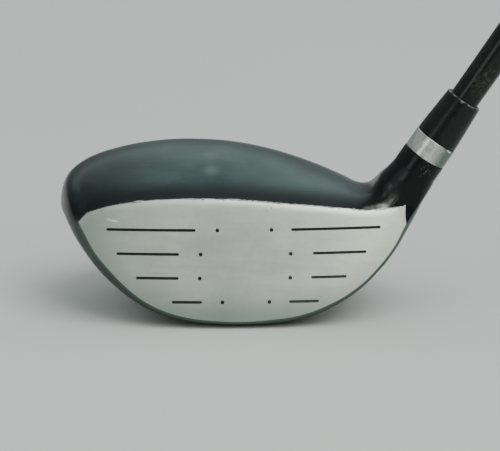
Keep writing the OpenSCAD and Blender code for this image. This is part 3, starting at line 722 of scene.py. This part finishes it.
    # painted highlight: a faint pale streak higher up the neck
    glow = m.math("MULTIPLY", m.scratch((42.4, -6.9, 38.6), (47.2, -7.8, 44.6), 2.2), m.range(hair, 0.36, 0.66, 0.82, 1.0, True))
    base = m.mix(m.math("MULTIPLY", glow, 0.12), base, (0.12, 0.15, 0.14))
    fleck = m.math("MULTIPLY", m.range(m.voronoi(1.25), 0.22, 0.12), m.spot((53.6, -8.3, 44.6), 3.0, 0.6))
    base = m.mix(m.math("MULTIPLY", fleck, 0.30), base, (0.40, 0.43, 0.41))
    rough = m.math("ADD", m.range(sky_sheen, 0.0, 1.0, 0.20, 0.30), m.math("MULTIPLY", m.noise(3.0, 3, 0.6), 0.05))
    rough = m.math("ADD", rough, m.math("MULTIPLY", m.math("MAXIMUM", rub_highlight, thin), 0.25))
    rough = m.math("ADD", rough, m.math("MULTIPLY", chips, 0.1))
    peel = m.noise(0.30, 2, 0.5)
    nrm = m.bump(peel, 0.012, 0.5)
    ding = m.spot((-2.4, 31.0, 45.6), 0.7, 0.9)
    nrm = m.bump(m.math("ADD", m.math("MULTIPLY", ding, -1.0), m.math("MULTIPLY", chips, -0.3)), 0.09, 0.9, nrm)
    m.bsdf.inputs["IOR"].default_value = 1.36
    m.bsdf.inputs["Specular IOR Level"].default_value = 0.30
    return m.out(Base_Color=base, Metallic=m.math("MULTIPLY", chips, 0.8), Roughness=rough, Normal=nrm)


def mat_enamel():
    m = Mat("score_enamel")
    X, Y, Z = m.xyz()
    base = m.mix(m.range(m.noise(1.6, 4, 0.6), 0.45, 0.70), (0.0035, 0.005, 0.0045), (0.018, 0.024, 0.020))
    thin = m.math("MULTIPLY", m.range(X, 2.0, 16.0, 0.25, 1.0, True), m.range(Z, 8.0, 30.0, 1.0, 0.15, True))
    thin = m.math("MULTIPLY", thin, m.range(m.noise(0.9, 3, 0.6), 0.30, 0.60, 0.5, 1.0))
    base = m.mix(m.math("MULTIPLY", thin, 0.40), base, (0.105, 0.125, 0.112))
    m.bsdf.inputs["Specular IOR Level"].default_value = 0.2
    return m.out(Base_Color=base, Roughness=m.range(m.noise(2.4, 3, 0.5), 0.3, 0.7, 0.5, 0.75), Normal=m.bump(m.noise(3.0, 3, 0.6), 0.04, 0.7))


def axis_coords(m):
    """distance along the shaft, and angle round it, from object coordinates"""
    rel = m.vec("SUBTRACT", m.co, tuple(ORG))
    t = m.vec("DOT_PRODUCT", rel, tuple(DIR))
    a = m.vec("DOT_PRODUCT", rel, tuple(EX))
    b = m.vec("DOT_PRODUCT", rel, tuple(EY))
    return t, a, b


def mat_ring():
    m = Mat("ring_satin_alloy")
    t, a, b = axis_coords(m)
    turn = m.noise(1.0, 3, 0.7, vec=m.comb(m.math("MULTIPLY", t, 7.0), m.math("MULTIPLY", a, 0.25), m.math("MULTIPLY", b, 0.25)))
    cloud = m.noise(0.22, 4, 0.6)
    base = m.mix(m.range(cloud, 0.35, 0.65), (0.44, 0.46, 0.43), (0.64, 0.66, 0.62))
    base = m.mix(m.math("MULTIPLY", m.range(turn, 0.35, 0.7), 0.25), base, (0.75, 0.75, 0.73))
    nicks_and_glint = m.range(m.voronoi(0.75, vec=m.comb(m.math("MULTIPLY", t, 1.4), a, b)), 0.16, 0.10)
    dirt = m.range(m.noise(0.8, 4, 0.65), 0.57, 0.68)
    base = m.mix(m.math("MULTIPLY", dirt, 0.45), base, (0.14, 0.15, 0.14))
    streak = m.noise(1.0, 3, 0.6, vec=m.comb(m.math("MULTIPLY", t, 0.35), m.math("MULTIPLY", a, 1.5), m.math("MULTIPLY", b, 1.5)))
    base = m.mix(m.math("MULTIPLY", m.range(streak, 0.54, 0.66), 0.45), base, (0.78, 0.81, 0.77))
    base = m.mix(m.math("MULTIPLY", m.range(streak, 0.46, 0.36), 0.40), base, (0.20, 0.23, 0.21))
    shade = m.math("MULTIPLY", m.range(a, 0.2, 4.4, 0.0, 1.0, True), m.range(b, -2.0, 2.5, 1.0, 0.0, True))
    base = m.mix(m.math("MULTIPLY", shade, 0.84), base, (0.070, 0.112, 0.096))
    # painted highlight: a bright mottled patch at the top front of the ring, with a dent bump; the short scratch beside
    # it is a real nick
    pale_patch = m.math("MULTIPLY", m.range(m.noise(1.5, 4, 0.7), 0.55, 0.63), m.spot(tuple(ORG + DIR * (T_FER - 1.0) - EY * 6.2 + EX * 1.2), 3.4, 0.75, (1.0, 1.0, 1.0)))
    pale_patch = m.math("MAXIMUM", pale_patch, m.scratch(tuple(ORG + DIR * (T_FER - 0.3) - EY * 5.2 + EX * 3.9), tuple(ORG + DIR * (T_FER - 0.6) - EY * 4.2 + EX * 5.0), 0.35))
    nicks_and_glint = m.math("MAXIMUM", nicks_and_glint, pale_patch)
    base = m.mix(m.math("MULTIPLY", nicks_and_glint, 0.8), base, (0.92, 0.92, 0.90))
    rough = m.math("ADD", m.range(cloud, 0.3, 0.7, 0.24, 0.34), m.math("MULTIPLY", dirt, 0.15))
    nrm = m.bump(turn, 0.012, 0.7)
    nrm = m.bump(m.math("MULTIPLY", nicks_and_glint, -1.0), 0.06, 0.8, nrm)
    return m.out(Base_Color=base, Metallic=0.9, Roughness=rough, Normal=nrm)


def mat_ferrule():
    m = Mat("ferrule_black_plastic")
    t, a, b = axis_coords(m)
    base = m.mix(m.range(m.noise(0.4, 3, 0.5), 0.35, 0.7), (0.003, 0.0045, 0.004), (0.007, 0.010, 0.009))
    scr = m.noise(1.0, 3, 0.6, vec=m.comb(m.math("MULTIPLY", t, 0.35), m.math("MULTIPLY", a, 4.0), m.math("MULTIPLY", b, 4.0)))
    scr = m.range(scr, 0.66, 0.76)
    base = m.mix(m.math("MULTIPLY", scr, 0.22), base, (0.25, 0.28, 0.26))
    # painted highlight: a paler, broken rim round the top edge
    top = m.math("MULTIPLY", m.range(t, T_FREE - 0.55, T_FREE - 0.1), m.range(m.noise(0.7, 3, 0.6), 0.40, 0.62))
    base = m.mix(m.math("MULTIPLY", top, 0.45), base, (0.36, 0.40, 0.37))
    rough = m.math("ADD", m.range(m.noise(0.9, 3, 0.6), 0.3, 0.7, 0.22, 0.31), m.math("MULTIPLY", scr, 0.2))
    glint = m.math("MULTIPLY", m.spot(tuple(ORG + DIR * (T_FREE - 0.25) - EY * 5.4 - EX * 1.0), 0.75, 0.95, (1.0, 1.0, 1.0)), m.range(m.noise(1.4, 3, 0.6), 0.34, 0.50, 0.4, 1.0))
    base = m.mix(m.math("MULTIPLY", glint, 0.36), base, (0.55, 0.60, 0.57))
    m.bsdf.inputs["Specular IOR Level"].default_value = 0.34
    m.bsdf.inputs["IOR"].default_value = 1.42
    return m.out(Base_Color=base, Roughness=rough, Normal=m.bump(m.noise(1.1, 3, 0.6), 0.012, 0.7))


def mat_shaft():
    m = Mat("shaft_graphite_paint")
    t, a, b = axis_coords(m)
    # a faint trace of the wrapped fibres under the clear coat
    ang = m.math("ARCTAN2", b, a)
    wrap = m.math("SINE", m.math("ADD", m.math("MULTIPLY", ang, 6.0), m.math("MULTIPLY", t, 1.9)))
    wrap = m.range(wrap, -1.0, 1.0)
    base = m.mix(m.math("MULTIPLY", wrap, 0.5), (0.004, 0.0065, 0.006), (0.008, 0.011, 0.010))
    fleck = m.range(m.voronoi(1.5), 0.12, 0.05)
    base = m.mix(m.math("MULTIPLY", fleck, 0.35), base, (0.09, 0.11, 0.10))
    # paler, rougher worn patches on the shaft
    pale_patch = m.math("MULTIPLY", m.range(m.noise(0.75, 4, 0.7), 0.52, 0.62), m.spot(tuple(ORG + DIR * (T_FREE + 9) - EY * 3.6 + EX * 2.0), 8.5, 0.85))
    pale_patch = m.math("MAXIMUM", pale_patch, m.math("MULTIPLY", m.range(m.noise(0.55, 4, 0.7), 0.60, 0.70), 0.5))
    base = m.mix(m.math("MULTIPLY", pale_patch, 0.42), base, (0.075, 0.085, 0.060))
    scr = m.noise(1.0, 3, 0.6, vec=m.comb(m.math("MULTIPLY", t, 0.12), m.math("MULTIPLY", a, 3.2), m.math("MULTIPLY", b, 3.2)))
    scr = m.range(scr, 0.66, 0.76)
    base = m.mix(m.math("MULTIPLY", scr, 0.20), base, (0.22, 0.25, 0.24))
    m.bsdf.inputs["IOR"].default_value = 1.42
    m.bsdf.inputs["Specular IOR Level"].default_value = 0.34
    return m.out(Base_Color=base, Roughness=m.math("ADD", m.math("ADD", 0.23, m.math("MULTIPLY", pale_patch, 0.2)), m.math("MULTIPLY", scr, 0.15)), Normal=m.bump(m.noise(0.6, 3, 0.5), 0.012, 0.6))


def mat_grip(name="grip_rubber"):
    m = Mat(name)
    base = m.mix(m.range(m.noise(0.12, 4, 0.6), 0.35, 0.7), (0.0095, 0.0112, 0.0110), (0.024, 0.0275, 0.0268))
    base = m.mix(m.math("MULTIPLY", m.range(m.noise(0.9, 4, 0.6), 0.58, 0.75), 0.3), base, (0.060, 0.067, 0.064))
    rough = m.range(m.noise(0.25, 3, 0.6), 0.3, 0.7, 0.68, 0.86)
    m.bsdf.inputs["Specular IOR Level"].default_value = 0.35
    return m.out(Base_Color=base, Roughness=rough, Normal=m.bump(m.noise(3.2, 4, 0.7), 0.05, 0.8))


def mat_plain(name, a, b, metal, r0, r1, scale=0.6, bump=0.02):
    m = Mat(name)
    n = m.noise(scale, 4, 0.6)
    base = m.mix(m.range(n, 0.35, 0.68), a, b)
    return m.out(Base_Color=base, Metallic=metal, Roughness=m.range(m.noise(scale * 2.3, 3, 0.5), 0.3, 0.7, r0, r1), Normal=m.bump(m.noise(scale * 4, 3, 0.6), bump, 0.7))


def give(ob, mat):
    ob.data.materials.clear()
    ob.data.materials.append(mat)


# ---------------------------------------------------------------------- pieces
FACE_M, SOLE_M, CROWN_M, ENAMEL_M = mat_face(), mat_sole(), mat_crown(), mat_enamel()
TUBE_M = mat_plain("hosel_bored_steel", (0.22, 0.22, 0.22), (0.38, 0.38, 0.37), 0.9, 0.3, 0.5)
RING_M, FER_M, SHAFT_M, GRIP_M = mat_ring(), mat_ferrule(), mat_shaft(), mat_grip()

# painted shell: crown, skirt and neck
shell = patch("head_shell", range(NI - 1), lambda i: range(0, jB if i < iC else jW) if i < iE else range(NC), thick_shell)
give(shell, CROWN_M)
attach(shell, "root")
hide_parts("head_body")

# hosel tube: its collar is the painted round end of the neck, the rest is bare steel inside the head
T_BORE = T_RING - 31.5
hosel = turned("hosel_sleeve", [(0, T_BORE - 2.5), (3.8, T_BORE - 2.5), (4.55, T_BORE - 1.6), (4.6, T_BORE), (4.6, NT - 0.6), (5.3, NT), (RN, NT), (RN, NT + 1.3), (RN, NT + 2.6),
                                (RN, T_RING - 0.28), (RN - 0.08, T_RING - 0.08), (RN - 0.28, T_RING), (4.5, T_RING), (4.5, T_BORE), (0, T_BORE)], 128)
for nm, val in (("run", 30.0), ("sta", 60.0), ("lean", 0.0)):
    at = hosel.data.attributes.new(nm, "FLOAT", "POINT")
    at.data.foreach_set("value", np.full(len(hosel.data.vertices), val, np.float32))
hosel.data.materials.append(CROWN_M)
hosel.data.materials.append(TUBE_M)
for p in hosel.data.polygons:
    c = np.array(p.center) / MM - ORG
    along = c @ DIR
    p.material_index = 0 if along > NT - 0.1 and np.linalg.norm(c - along * DIR) > 5.0 else 1
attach(hosel, "root")
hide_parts("hosel_tube")

# sole plate
sole = patch("sole_shell", range(iC, iE), lambda i: range(jW, jB), thick_sole)
give(sole, SOLE_M)
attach(sole, "root")
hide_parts("sole_plate")

# face plate with its cut marks
face = patch("face_skin", range(iC, iE), lambda i: range(jB, NC), thick_face)
# rows from the top: line on the toe side, line on the heel side, dots
MARKS = [(-40.5, -14.2, 13.9, 40.3, -7.8, 8.1), (-37.6, -19.1, 20.2, 36.0, -12.8, 13.7),
         (-31.9, -19.3, 19.6, 30.1, -13.1, 13.5), (-21.4, -12.5, 13.1, 21.9, -6.5, 7.3)]
LINE_W, DOT_R = 0.8, 0.575


def bar(x0, x1, z, w, deep, proud, n=None):
    """verts and faces of a round-ended bar that follows the face"""
    n = n or max(6, int(abs(x1 - x0) / 2.0))
    half = w / 2
    cap = [(x0 + half - half * math.cos(a), half * math.sin(a)) for a in np.linspace(0, math.pi / 2, 5)]
    st = cap + [(x0 + half + (x1 - x0 - w) * i / n, half) for i in range(1, n)] + [(x1 - half + half * math.cos(a), half * math.sin(a)) for a in np.linspace(math.pi / 2, 0, 5)]
    V, F = [], []
    for x, hh in st:
        hh = max(hh, 0.012)
        for dz, dy in ((-hh, -proud), (hh, -proud), (hh, deep), (-hh, deep)):
            V.append((x, float(face_y(x, z + dz)) + dy, z + dz))
    m = len(st)
    F.append((3, 2, 1, 0))
    F.append((4 * m - 4, 4 * m - 3, 4 * m - 2, 4 * m - 1))
    for i in range(m - 1):
        for k in range(4):
            a, b = 4 * i + k, 4 * i + (k + 1) % 4
            F.append((a, b, b + 4, a + 4))
    return V, [f[::-1] for f in F]


def disc(x, z, r, deep, proud, seg=28):
    n = -face_in(np.array([[x, 0, z]]))[0]
    c = np.array(fpt(x, z))
    a = np.cross(n, [0, 0, 1.0])
    a /= np.linalg.norm(a)
    b = np.cross(n, a)
    V = [tuple(c + n * q + r * (a * math.cos(2 * math.pi * k / seg) + b * math.sin(2 * math.pi * k / seg))) for q in (-deep, proud) for k in range(seg)]
    F = [tuple(range(seg)), tuple(range(2 * seg - 1, seg - 1, -1))] + [(k, k + seg, (k + 1) % seg + seg, (k + 1) % seg) for k in range(seg)]
    return V, [f[::-1] for f in F]


def fix_out(ob):
    me = ob.data
    co = np.array([v.co[:] for v in me.vertices])
    co = co - co.mean(0)
    vol = sum(np.dot(co[p.vertices[0]], np.cross(co[p.vertices[k]], co[p.vertices[k + 1]])) for p in me.polygons for k in range(1, len(p.vertices) - 1))
    if vol < 0:
        me.flip_normals()
    return ob


def cut(target, V, F):
    tool = fix_out(new_object("cutter", V, F, 0))
    mod = target.modifiers.new("cut", "BOOLEAN")
    mod.operation = "DIFFERENCE"
    mod.solver = "EXACT"
    mod.object = tool
    dg = bpy.context.evaluated_depsgraph_get()
    me = bpy.data.meshes.new_from_object(target.evaluated_get(dg), depsgraph=dg)
    target.modifiers.clear()
    old = target.data
    target.data = me
    bpy.data.meshes.remove(old)
    bpy.data.objects.remove(tool)


cv, cf = [], []
for i, (a0, a1, b0, b1, d0, d1) in enumerate(MARKS):
    z = 28.25 - 6.8 * i
    for V, F in (bar(a0, a1, z, LINE_W, 0.27, 0.5), bar(b0, b1, z, LINE_W, 0.27, 0.5), disc(d0, z, DOT_R, 0.27, 0.5), disc(d1, z, DOT_R, 0.27, 0.5)):
        cf += [tuple(k + len(cv) for k in f) for f in F]
        cv += V
cut(face, cv, cf)
face.data.set_sharp_from_angle(angle=30 * D2R)
# distance below the top line and in from the rim, for the materials
fx = np.array([v.co[:] for v in face.data.vertices]) / MM
top_line = G[iC:iE + 1, 0]
low_line = G[iC:iE + 1, jB]
heel_line = G[iE, jB:]


def dist_to(P, L):
    d = np.full(len(P), 1e9)
    for a, b in zip(L[:-1], L[1:]):
        ab = b - a
        t = np.clip(((P - a) @ ab) / max(1e-9, ab @ ab), 0, 1)
        d = np.minimum(d, np.linalg.norm(P - a - t[:, None] * ab, axis=1))
    return d


sx = np.array([v.co[:] for v in sole.data.vertices]) / MM
at = sole.data.attributes.new("rimd", "FLOAT", "POINT")
at.data.foreach_set("value", dist_to(sx, low_line).astype(np.float32))
at = face.data.attributes.new("topd", "FLOAT", "POINT")
at.data.foreach_set("value", dist_to(fx, top_line).astype(np.float32))
at = face.data.attributes.new("rimd", "FLOAT", "POINT")
at.data.foreach_set("value", np.minimum(dist_to(fx, low_line), dist_to(fx, heel_line)).astype(np.float32))
give(face, FACE_M)
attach(face, "root")
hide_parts("face_plate")

# enamel in the marks, a little below the face
for name, node in (("score_line_enamel", "score_line_fill"), ("score_dot_enamel", "score_dot_fill")):
    V, F = [], []
    for i, (a0, a1, b0, b1, d0, d1) in enumerate(MARKS):
        z = 28.25 - 6.8 * i
        if "line" in name:
            parts = [bar(p + 0.004, q - 0.004, z, LINE_W - 0.01, 0.268, -0.08) for p, q in ((a0, a1), (b0, b1))]
        else:
            parts = [disc(p, z, DOT_R - 0.005, 0.268, -0.08) for p in (d0, d1)]
        for v, f in parts:
            F += [tuple(k + len(V) for k in q) for q in f]
            V += v
    ob = fix_out(new_object(name, V, F, 35))
    give(ob, ENAMEL_M)
    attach(ob, "root")
    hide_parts(node)

# trim ring, ferrule
ring = turned("trim_ring", rounded([(4.55, T_RING + 0.02), (6.55, T_RING + 0.02), (6.55, T_FER - 0.02), (4.55, T_FER - 0.02)], [0, 0.32, 0.32, 0]), 128)
give(ring, RING_M)
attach(ring, "root")
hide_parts("hosel_ring")
fer = turned("ferrule_sleeve", rounded([(4.46, T_FER), (6.4, T_FER), (6.32, T_FER + 2.6), (5.95, T_FER + 8.0), (5.5, T_FREE), (4.46, T_FREE)], [0, 0.3, 3, 3, 0.42, 0.1]), 128)
give(fer, FER_M)
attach(fer, "root")
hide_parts("ferrule")


# shaft
T_GRIP = CLUB - 4 - 264


def shaft_r(t):
    return 4.4 if t < T_FREE else 7.6 if t > T_GRIP + 60 else 4.4 + 3.2 * (t - T_FREE) / (T_GRIP + 60 - T_FREE)


def bore_r(t):
    return shaft_r(t) - (1.7 - 0.85 * min(1, max(0, (t - T_FREE) / (T_GRIP - T_FREE))))


t_b = T_RING - 31.5
outer = [t_b, t_b + 12, T_RING, T_FREE] + [T_FREE + (T_GRIP + 60 - T_FREE) * k / 40 for k in range(1, 41)] + [CLUB - 4]
prof = [(shaft_r(t), t) for t in outer] + [(bore_r(t), t) for t in (CLUB - 4, T_GRIP, T_FREE, t_b)]
shaft = turned("shaft_tube", prof, 96)
give(shaft, SHAFT_M)
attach(shaft, "root")
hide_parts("shaft")


# grip with its moulded pattern
def grip_base(t):
    a = [(T_GRIP, 9.0), (CLUB - 12, 13.2), (CLUB - 6.5, 14.8), (CLUB - 4, 15.2)]
    for (t0, r0), (t1, r1) in zip(a[:-1], a[1:]):
        if t <= t1:
            return r0 + (r1 - r0) * (t - t0) / (t1 - t0)
    return 15.2


def pulse(x, w):
    x = abs(x - round(x))
    return max(0.0, 1 - (x / w) ** 2) if x < w else 0.0


def grip_shape(r, t, th, k):
    if not grip_rows[k]:
        return r, t
    u = t - T_GRIP
    g = 0.0
    if 10 < u < 248:
        turns = th / (2 * math.pi)
        fade = min(1, (u - 10) / 3, (248 - u) / 3)
        band = pulse((u - 10) / 59.5, 0.03)
        if (u - 10) % 59.5 > 2.6 and (u - 10) % 59.5 < 56.9:
            g = fade * max(pulse(turns * 10 + u / 9.0, 0.13), pulse(turns * 10 - u / 9.0, 0.13)) * 0.42
        g = max(g, band * 0.55)
    if u < 9:
        g = 0.25 * pulse(u / 3.0, 0.22)
    if u > 251 and u < 256:
        g = 0.3 * pulse((u - 251) / 2.5, 0.3)
    return r - g, t


ts = [T_GRIP + 0.5 + (CLUB - 8 - T_GRIP - 0.5) * k / 330 for k in range(331)]
gp = [(7.62, T_GRIP), (8.3, T_GRIP)] + [(8.75, T_GRIP + 0.2)] + [(grip_base(t), t) for t in ts] + [(15.0, CLUB - 5.6), (15.2, CLUB - 4.6), (15.2, CLUB - 4.02), (7.85, CLUB - 4.02), (7.85, T_GRIP + 60)]
grip_rows = [False] * 3 + [True] * len(ts) + [False] * 5
gp[0] = (shaft_r(T_GRIP) + 0.02, T_GRIP)
gp.append((shaft_r(T_GRIP + 60) + 0.02, T_GRIP + 60))
grip_rows.append(False)
grip = turned("grip_sleeve", gp, 120, grip_shape, sharp=50, weighted=False)
give(grip, GRIP_M)
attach(grip, "root")
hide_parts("grip")
cap = turned("grip_end_cap", rounded([(1.5, CLUB - 4), (15.2, CLUB - 4), (15.2, CLUB - 2.8), (13.4, CLUB - 0.8), (10.7, CLUB), (9.2, CLUB), (8.9, CLUB - 0.5), (8.0, CLUB - 0.5), (7.7, CLUB), (2.4, CLUB), (1.5, CLUB - 0.7)],
                                   [0, 0.3, 1.2, 1.5, 1.2, 0.2, 0.2, 0.2, 0.2, 0.5, 0.3]), 120)
give(cap, GRIP_M)
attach(cap, "root")
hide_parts("grip_cap")

# what stays from the CAD model, all of it inside
inside = {
    "shaft_epoxy": mat_plain("cured_epoxy", (0.50, 0.42, 0.22), (0.66, 0.60, 0.38), 0.0, 0.25, 0.5),
    "tip_weight": mat_plain("turned_brass", (0.55, 0.38, 0.13), (0.70, 0.50, 0.20), 1.0, 0.2, 0.4),
    "rattle_pad": mat_plain("hot_melt", (0.55, 0.48, 0.30), (0.72, 0.66, 0.48), 0.0, 0.3, 0.5),
    "rear_weight": mat_plain("weight_steel", (0.20, 0.20, 0.20), (0.36, 0.35, 0.34), 0.9, 0.4, 0.6),
    "grip_tape": mat_plain("crepe_tape", (0.60, 0.56, 0.42), (0.76, 0.72, 0.58), 0.0, 0.8, 0.95, 1.4, 0.08),
}
for node, mat in inside.items():
    give(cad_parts[node], mat)

# ------------------------------------------------------ floor, light and camera
bpy.ops.mesh.primitive_plane_add(size=30, location=(0, 0, -0.00005))
floor = bpy.context.object
floor.name = "floor"
fm = Mat("floor_pale")
fb = fm.mix(fm.noise(0.004, 3, 0.5), (0.60, 0.62, 0.605), (0.66, 0.675, 0.66))
give(floor, fm.out(Base_Color=fb, Roughness=0.85))


def area(name, loc, target, size, power, colour=(1, 1, 1), size_y=None):
    d = bpy.data.lights.new(name, "AREA")
    d.energy = power
    d.color = colour
    d.shape = "RECTANGLE"
    d.size = size
    d.size_y = size_y or size
    o = bpy.data.objects.new(name, d)
    bpy.context.scene.collection.objects.link(o)
    o.location = loc
    o.rotation_mode = "QUATERNION"
    o.rotation_quaternion = (Vector(target) - Vector(loc)).to_track_quat("-Z", "Y")
    return o


area("key_overhead", (0.7, -0.7, 1.8), (0, 0, 0.02), 1.5, 26, (1.0, 1.0, 0.97))
area("front_right", (1.3, -2.0, 1.15), (0, 0, 0.03), 1.2, 14, (1.0, 1.0, 0.95))
area("front_left", (-1.40, -1.78, 0.62), (0.05, 0, 0.06), 0.62, 3.4, (0.94, 1.0, 0.97), 0.62)
area("back_sky", (-0.1, 1.5, 1.6), (0, 0, 0.04), 3.2, 9, (0.86, 1.0, 0.985), 1.5)
world = bpy.data.worlds.new("studio")
bpy.context.scene.world = world
world.use_nodes = True
wt = world.node_tree
bg = wt.nodes["Background"]
bg.inputs[0].default_value = (0.80, 0.87, 0.86, 1)
wc = wt.nodes.new("ShaderNodeTexCoord")
ws = wt.nodes.new("ShaderNodeSeparateXYZ")
wt.links.new(wc.outputs["Generated"], ws.inputs[0])
wr = wt.nodes.new("ShaderNodeMapRange")
wr.interpolation_type = "SMOOTHSTEP"
for nm, v in (("From Min", 0.02), ("From Max", 0.75), ("To Min", 0.24), ("To Max", 0.66)):
    wr.inputs[nm].default_value = v
wt.links.new(ws.outputs["Z"], wr.inputs["Value"])
wt.links.new(wr.outputs["Result"], bg.inputs[1])

cam_data = bpy.data.cameras.new("camera")
cam = bpy.data.objects.new("camera", cam_data)
bpy.context.scene.collection.objects.link(cam)
el, roll = 14 * D2R, -0.5 * D2R
right, up, back = np.array([1.0, 0, 0]), np.array([0, math.sin(el), math.cos(el)]), np.array([0, -math.cos(el), math.sin(el)])
r2 = right * math.cos(roll) + up * math.sin(roll)
u2 = -right * math.sin(roll) + up * math.cos(roll)
pos = np.array([1.8, -10.0, 29.0]) + 1150 * back
cam.matrix_world = Matrix(((r2[0], u2[0], back[0], pos[0] * MM), (r2[1], u2[1], back[1], pos[1] * MM), (r2[2], u2[2], back[2], pos[2] * MM), (0, 0, 0, 1)))
cam_data.sensor_width = 36
cam_data.lens = 281.2
cam_data.clip_start, cam_data.clip_end = 0.05, 30
bpy.context.scene.camera = cam
